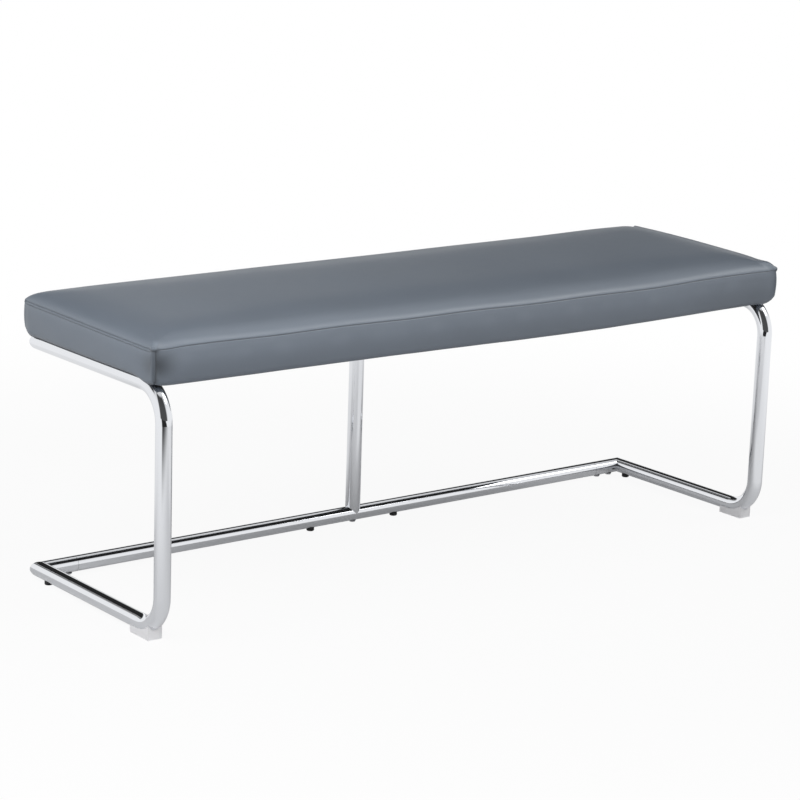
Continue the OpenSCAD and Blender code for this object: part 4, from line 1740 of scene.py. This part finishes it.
@dataclass
class Stitching:
    """Thread of the stitched line across each end, one small piece per stitch.

    Attributes:
        pitch: Distance from stitch to stitch.
        length: Length of a stitch.
        radius: Radius of the thread.
        tip: Radius of the thread at the tips of a stitch.
        proud: How far the tips stand out of the leather.
        around: Points round the thread.
        ends: Points along a stitch.
    """

    pitch: float = 4.2 * MM
    length: float = 3.0 * MM
    radius: float = 0.38 * MM
    tip: float = 0.02 * MM
    proud: float = 0.1 * MM
    around: int = 6
    ends: int = 5

    def assemble(self, cushion: Cushion, rows: Rows, points: np.ndarray) -> None:
        """Builds the stitches of both ends.

        Each stitch is a spindle: its radius is the root of one minus the square of the
        share along it, and it lies along the line with its middle just proud.

        Args:
            cushion: The cushion that carries them.
            rows: Its cross-section.
            points: Its finished points.
        """
        plan = cushion.outline
        leather = rows.down < cushion.band
        row = int(np.argmin(np.where(leather, np.abs(rows.down - cushion.end_line), 1.0)))
        normals = grid_normals(points)[row]
        centres, tangents, outs = [], [], []
        for side in (Side.LEFT, Side.RIGHT):
            on = np.flatnonzero(plan.on_side(side))
            path, out = points[row, on], normals[on]
            walked = np.r_[0.0, np.cumsum(np.linalg.norm(np.diff(path, axis=0), axis=1))]
            at = np.arange(self.pitch, walked[-1] - self.pitch, self.pitch)
            centres.append(np.stack([np.interp(at, walked, path[:, k]) for k in range(3)], axis=-1))
            outs.append(np.stack([np.interp(at, walked, out[:, k]) for k in range(3)], axis=-1))
            tangents.append(np.gradient(centres[-1], axis=0))
        centre, tangent, out = (np.concatenate(parts) for parts in (centres, tangents, outs))
        tangent /= np.linalg.norm(tangent, axis=1, keepdims=True)
        out /= np.linalg.norm(out, axis=1, keepdims=True)
        side_way = np.cross(tangent, out)
        share = np.linspace(-1.0, 1.0, self.ends)
        angle = np.arange(self.around) * 2 * math.pi / self.around
        thick = self.radius * np.sqrt(1 - share**2) + self.tip
        ring = thick[:, None] * np.stack([np.cos(angle), np.sin(angle)])[:, None, :]
        lift = self.radius * 0.5 * (1 - share**2) + self.proud
        body = (
            centre[:, None, None, :]
            + tangent[:, None, None, :] * (share * self.length / 2)[None, :, None, None]
            + out[:, None, None, :] * (ring[0] + lift[:, None])[None, :, :, None]
            + side_way[:, None, None, :] * ring[1][None, :, :, None]
        )
        count = self.ends * self.around
        quads = grid_faces(self.ends, self.around)
        faces = (quads[None, :, :] + (np.arange(len(centre)) * count)[:, None, None]).reshape(-1, 4)
        stitches = mesh_object("end_stitches", body, faces)
        layer = stitches.data.uv_layers.new(name="UVMap")
        corner = faces.ravel() % count
        pair = np.stack([corner // self.around / (self.ends - 1), corner % self.around / self.around])
        layer.data.foreach_set("uv", pair.T.astype(np.float32).ravel())
        dress(stitches, SewingThread().material())
        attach(stitches, BODY)
        LOG.info("stitches: %d", len(centre))


# Frame and fittings


@dataclass
class TubeFrame:
    """Chromed tubes of the frame, which keep their modelled form.

    Attributes:
        draw: Stretch of the draw lines along a tube.
        upright: Nodes whose tube stands upright.
        lengthwise: Nodes whose tube runs along the bench.
        bent: Nodes that are bent tubes.
    """

    draw: float = 0.03
    upright: Sequence[str] = ("centre_post",)
    lengthwise: Sequence[str] = (
        "lower_rear_rail",
        "upper_rear_rail",
        "left_lower_stub",
        "left_upper_stub",
        "right_lower_stub",
        "right_upper_stub",
    )
    bent: Sequence[str] = ("left_side_tube", "right_side_tube")

    def assemble(self, nodes: Mapping[str, bpy.types.Object]) -> None:
        """Dresses every tube, with the draw lines along it.

        Args:
            nodes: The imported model's objects by name.
        """
        finishes = (
            (self.upright, BrightChrome("chrome_upright", (1.0, 1.0, self.draw))),
            (self.lengthwise, BrightChrome("chrome_lengthwise", (self.draw, 1.0, 1.0))),
            (self.bent, BrightChrome("chrome_bent", (1.0, self.draw, self.draw))),
        )
        for names, chrome in finishes:
            material = chrome.material()
            for name in names:
                dress(nodes[name], material)
            LOG.info("chrome on %s", ", ".join(names))


@dataclass
class Fittings:
    """Spigots, screws, plug, board, dust cover and staples.

    Attributes:
        plated: Nodes of zinc plated steel.
    """

    plated: Sequence[str] = (
        "left_lower_spigot",
        "right_lower_spigot",
        "left_upper_spigot",
        "right_upper_spigot",
        "lower_rail_bolts",
        "upper_rail_bolts",
        "post_plug",
        "post_bolt",
        "seat_screws",
        "seat_tee_nuts",
        "cover_staples",
    )

    def assemble(self, nodes: Mapping[str, bpy.types.Object]) -> None:
        """Dresses the fittings.

        Args:
            nodes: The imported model's objects by name.
        """
        zinc = ZincPlate().material()
        for name in self.plated:
            dress(nodes[name], zinc)
        dress(nodes["seat_board"], PoplarPly().material())
        dress(nodes["dust_cover"], DustCloth().material())
        LOG.info("fittings: %d plated nodes, board and dust cover", len(self.plated))


@dataclass
class Feet:
    """Clear front feet and black rear feet.

    Attributes:
        clear: Nodes of clear plastic.
        black: Nodes of rubber.
    """

    clear: Sequence[str] = ("left_front_foot", "right_front_foot")
    black: Sequence[str] = ("left_side_foot", "right_side_foot", "left_rail_foot", "right_rail_foot")

    def assemble(self, nodes: Mapping[str, bpy.types.Object]) -> None:
        """Dresses the feet.

        Args:
            nodes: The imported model's objects by name.
        """
        plastic, rubber = MilkyPlastic().material(), BlackRubber().material()
        for name in self.clear:
            dress(nodes[name], plastic)
        for name in self.black:
            dress(nodes[name], rubber)
        LOG.info("feet: %d clear and %d black", len(self.clear), len(self.black))


# Studio


def aimed(azimuth: float, elevation: float, roll: float = 0.0) -> np.ndarray:
    """Turn of a lamp or a camera that looks at the bench.

    Args:
        azimuth: Direction in degrees from which it looks, 0 in front and 90 at the right.
        elevation: Height above the horizon in degrees.
        roll: Roll about its own line of sight in degrees.

    Returns:
        Its right, up and backward directions, as the columns of a matrix.
    """
    a, e, r = (math.radians(v) for v in (azimuth, elevation, roll))
    back = np.array([math.sin(a) * math.cos(e), -math.cos(a) * math.cos(e), math.sin(e)])
    right = np.cross([0.0, 0.0, 1.0], back)
    right /= np.linalg.norm(right)
    up = np.cross(back, right)
    turned = (math.cos(r) * right + math.sin(r) * up, -math.sin(r) * right + math.cos(r) * up)
    return np.column_stack([*turned, back])


def place_object(made: bpy.types.Object, turn: np.ndarray, spot: Sequence[float]) -> None:
    """Adds a lamp or a camera to the scene.

    Args:
        made: The object.
        turn: Its turn, as a matrix.
        spot: Its place.
    """
    matrix = np.eye(4)
    matrix[:3, :3], matrix[:3, 3] = turn, spot
    bpy.context.scene.collection.objects.link(made)
    made.matrix_world = Matrix(matrix.tolist())


def camera_side(front: Wire, right: Wire, slopes: Border, soft: float) -> Wire:
    """Share of a direction that points to the unlit side of the studio, where the camera stands.

    Args:
        front: How far the direction points to the front.
        right: How far it points to the right.
        slopes: Right over front along the left and the right border.
        soft: Half width of the right border. The left one is twice as soft.

    Returns:
        1 inside the unlit side and 0 outside.
    """
    left_border = (right - front * slopes[0]).step(-2 * soft, 2 * soft)
    return left_border * (1.0 - (right - front * slopes[1]).step(-soft, soft))


def background_rays(board: Board) -> Wire:
    """Share of rays that see the background: those of the camera, of gloss and of clear pieces."""
    return board.ray("Camera").most(board.ray("Glossy")).most(board.ray("Transmission"))


@dataclass(frozen=True)
class SoftBox:
    """A square soft lamp that faces the bench.

    Attributes:
        name: Name of the lamp.
        azimuth: Direction in degrees, 0 in front and 90 at the right.
        elevation: Height above the horizon in degrees.
        distance: Distance from the bench's middle.
        width: Side of the square.
        power: Power in watts.
        mirrored: Whether gloss shows the lamp itself.
    """

    name: str
    azimuth: float
    elevation: float
    distance: float
    width: float
    power: float
    mirrored: bool = True

    def build(self, aim: Sequence[float]) -> None:
        """Adds the lamp.

        Args:
            aim: The point it faces.
        """
        turn = aimed(self.azimuth, self.elevation)
        lamp = bpy.data.lights.new(self.name, "AREA")
        lamp.shape, lamp.size, lamp.energy = "SQUARE", self.width, self.power
        made = bpy.data.objects.new(self.name, lamp)
        made.visible_glossy = self.mirrored
        place_object(made, turn, np.array(aim) + turn[:, 2] * self.distance)


@dataclass(frozen=True)
class Floor:
    """Pale floor, white where it is seen, which keeps the bench's shadow near it.

    Attributes:
        half: Half size of the floor.
        colour: Colour of the floor.
        specks_per_metre: Waves of its slow noise.
        bare: Share of plain white near the bench as the camera sees it.
        mirrored: The same share in the chrome's reflections.
        mirrored_right: How much larger that share is at the front right.
        mirrored_rear: How much larger it is behind the bench.
        right_from: Distances to the right over which the front right begins.
        front_from: Distances to the front over which it begins.
        rear_from: Distances to the rear over which the floor behind the bench begins.
        far: Distances from the bench over which the floor turns plain white.
        dark: Strength of the unlit side in the chrome's reflections.
        dark_from: Distances from the bench over which that side begins.
        dark_front: Distances to the front over which it begins.
        dark_slopes: Right over front along its borders.
        dark_soft: Half width of its right border.
    """

    half: float = 30.0
    colour: Colour = (0.70, 0.70, 0.705)
    specks_per_metre: float = 3.0
    bare: float = 0.93
    mirrored: float = 0.13
    mirrored_right: float = 0.55
    mirrored_rear: float = 0.55
    right_from: Border = (-0.2, 0.2)
    front_from: Border = (0.12, 0.45)
    rear_from: Border = (0.2, 0.6)
    far: Border = (0.7, 1.9)
    dark: float = 0.025
    dark_from: Border = (1.2, 1.9)
    dark_front: Border = (0.2, 0.5)
    dark_slopes: Border = (-1.8, -0.15)
    dark_soft: float = 0.15

    def assemble(self) -> None:
        """Adds the floor. Its white share grows with the distance from the bench."""
        half = self.half
        corners = np.array([[-half, -half, 0], [half, -half, 0], [half, half, 0], [-half, half, 0]])
        floor = mesh_object("floor", corners, np.array([[0, 1, 2, 3]]))
        coat = Coat("pale_floor")
        place = coat.place()
        speck = coat.noise(place, self.specks_per_metre, 2.0, 0.5)
        colour = coat.tint(speck, *shades(self.colour, 0.99, 1.0))
        sockets = {"Base Color": colour, "Roughness": 0.9, "Specular IOR Level": 0.1}
        lit = coat.node("ShaderNodeBsdfPrincipled", None, sockets)
        away = coat.node("ShaderNodeVectorMath", {"operation": "LENGTH"}, {0: place}, "Value")
        gloss = coat.ray("Glossy")
        front, right = -coat.axis(place, "Y"), coat.axis(place, "X")
        lighter = right.step(*self.right_from) * front.step(*self.front_from) * self.mirrored_right
        lighter = lighter.most((-front).step(*self.rear_from) * self.mirrored_rear)
        plain = gloss * (lighter + (self.mirrored - self.bare)) + self.bare
        share = background_rays(coat) * (plain + away.step(*self.far) * (1.0 - plain))
        pale = coat.blend(share, lit, coat.glow(1.0))
        beyond = gloss * away.step(*self.dark_from) * front.step(*self.dark_front)
        beyond = beyond * camera_side(front, right, self.dark_slopes, self.dark_soft)
        coat.end("ShaderNodeOutputMaterial", coat.blend(beyond, pale, coat.glow(self.dark)))
        dress(floor, coat.material)


@dataclass(frozen=True)
class Surroundings:
    """White walls, which gloss sees unlit in the upper rear, beside bright strips, and at the camera.

    Attributes:
        ambient: Strength on plain surfaces.
        dark: Strength of the unlit parts.
        overhead: Strength straight above.
        overhead_from: Heights over which that strength is reached.
        rear_from: Directions to the rear over which the rear begins.
        rear_low: Heights over which the unlit rear begins.
        right_lift: How much lower it begins at the right.
        lift_from: Directions to the right over which it gets lower.
        left_panel: Right-hand edge of the lit panel at the left of the rear.
        panel_top: Its upper edge.
        low_strip: Left-hand and right-hand edges of the low bright strip.
        low_share: How far that strip is lit.
        high_strip: Left-hand and right-hand edges of the high bright strip.
        high_from: Lower edge of that strip.
        camera_from: Directions to the front over which the unlit camera side begins.
        camera_slopes: Right over front along its borders.
        camera_soft: Half width of its right border.
        camera_share: How far it is unlit.
        lit_above: Heights over which everything is lit again.
        rear_drop: How much lower that is at the rear right.
        drop_from: Directions to the right over which it gets lower there.
    """

    ambient: float = 0.33
    dark: float = 0.025
    overhead: float = 0.75
    overhead_from: Border = (0.3, 0.9)
    rear_from: Border = (-0.1, 0.15)
    rear_low: Border = (0.22, 0.28)
    right_lift: float = 0.10
    lift_from: Border = (0.46, 0.72)
    left_panel: Border = (-0.32, -0.24)
    panel_top: Border = (0.56, 0.64)
    low_strip: tuple[Border, Border] = ((-0.185, -0.17), (-0.14, -0.125))
    low_share: float = 0.8
    high_strip: tuple[Border, Border] = ((0.02, 0.06), (0.17, 0.22))
    high_from: Border = (0.62, 0.68)
    camera_from: Border = (0.08, 0.25)
    camera_slopes: Border = (-3.0, 0.27)
    camera_soft: float = 0.12
    camera_share: float = 0.94
    lit_above: Border = (0.82, 0.90)
    rear_drop: float = 0.16
    drop_from: Border = (0.1, 0.4)

    def assemble(self) -> None:
        """Sets the world. Its strength is a product of bands of the direction's three parts."""
        world = bpy.data.worlds.new("surroundings")
        bpy.context.scene.world = world
        world.use_nodes = True
        board = Board(world.node_tree)
        heading = board.node("ShaderNodeTexCoord", output="Generated")
        height, rear, right = (board.axis(heading, letter) for letter in "ZYX")
        to_rear = rear.step(*self.rear_from)
        raised = height + right.step(*self.lift_from) * self.right_lift
        left_panel = (1.0 - right.step(*self.left_panel)) * (1.0 - height.step(*self.panel_top))
        low_strip = right.between(*self.low_strip) * self.low_share
        high_strip = right.between(*self.high_strip) * height.step(*self.high_from)
        behind = to_rear * raised.step(*self.rear_low) * (1.0 - left_panel)
        behind = behind * (1.0 - low_strip) * (1.0 - high_strip)
        front = -rear
        unlit_side = camera_side(front, right, self.camera_slopes, self.camera_soft)
        before = front.step(*self.camera_from) * unlit_side * self.camera_share
        lowered = height + right.step(*self.drop_from) * to_rear * self.rear_drop
        shut = behind.most(before) * (1.0 - lowered.step(*self.lit_above))
        upper = height.step(*self.overhead_from) * (self.overhead - 1.0) + 1.0
        seen = upper * (1.0 - shut * (1.0 - self.dark))
        shown = background_rays(board)
        strength = shown * seen.most(board.ray("Camera")) + (1.0 - shown) * self.ambient
        sockets = {"Color": WHITE, "Strength": strength}
        board.end("ShaderNodeOutputWorld", board.node("ShaderNodeBackground", None, sockets))


@dataclass
class Studio:
    """Floor, surroundings, soft lamps and the photograph's camera.

    Attributes:
        position: Place of the camera.
        azimuth: Direction of the camera in degrees.
        elevation: Height of the camera's view in degrees.
        roll: Roll of the camera in degrees.
        lens: Lens on the sensor.
        sensor: Width of the sensor in mm.
        clip: Nearest and farthest distance that the camera sees.
        aim: The point that the lamps face.
        lamps: The soft lamps.
    """

    position: Sequence[float] = (-2.52714847, -3.20022829, 1.25171103)
    azimuth: float = -37.92794
    elevation: float = 13.838085
    roll: float = 1.883837
    lens: float = 116.8533
    sensor: float = 36.0
    clip: tuple[float, float] = (0.05, 100.0)
    aim: Sequence[float] = (0.0, 0.0, 0.25)
    lamps: Sequence[SoftBox] = (
        SoftBox("left_lamp", -68.0, 38.0, 2.1, 1.7, 25.0, False),
        SoftBox("right_top_lamp", 57.0, 44.0, 4.6, 1.7, 44.0),
        SoftBox("front_lamp", -10.0, 20.0, 4.2, 2.4, 22.0, False),
    )

    def build_camera(self) -> None:
        """Adds the camera that took the photograph."""
        lens = bpy.data.cameras.new("camera")
        lens.lens, lens.sensor_width = self.lens, self.sensor
        lens.clip_start, lens.clip_end = self.clip
        camera = bpy.data.objects.new("camera", lens)
        place_object(camera, aimed(self.azimuth, self.elevation, self.roll), self.position)
        bpy.context.scene.camera = camera

    def assemble(self) -> None:
        """Builds the whole studio."""
        bpy.context.scene.view_settings.view_transform = "Standard"
        Floor().assemble()
        Surroundings().assemble()
        for lamp in self.lamps:
            lamp.build(self.aim)
        self.build_camera()
        LOG.info("studio: %d lamps", len(self.lamps))


def main() -> None:
    """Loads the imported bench, dresses it and sets the studio round it."""
    logging.basicConfig(level=logging.INFO, format="%(name)s: %(message)s")
    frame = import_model()
    nodes = frame["nodes"]
    TubeFrame().assemble(nodes)
    Fittings().assemble(nodes)
    Feet().assemble(nodes)
    Cushion().assemble()
    Studio().assemble()


if __name__ == "__main__":
    main()
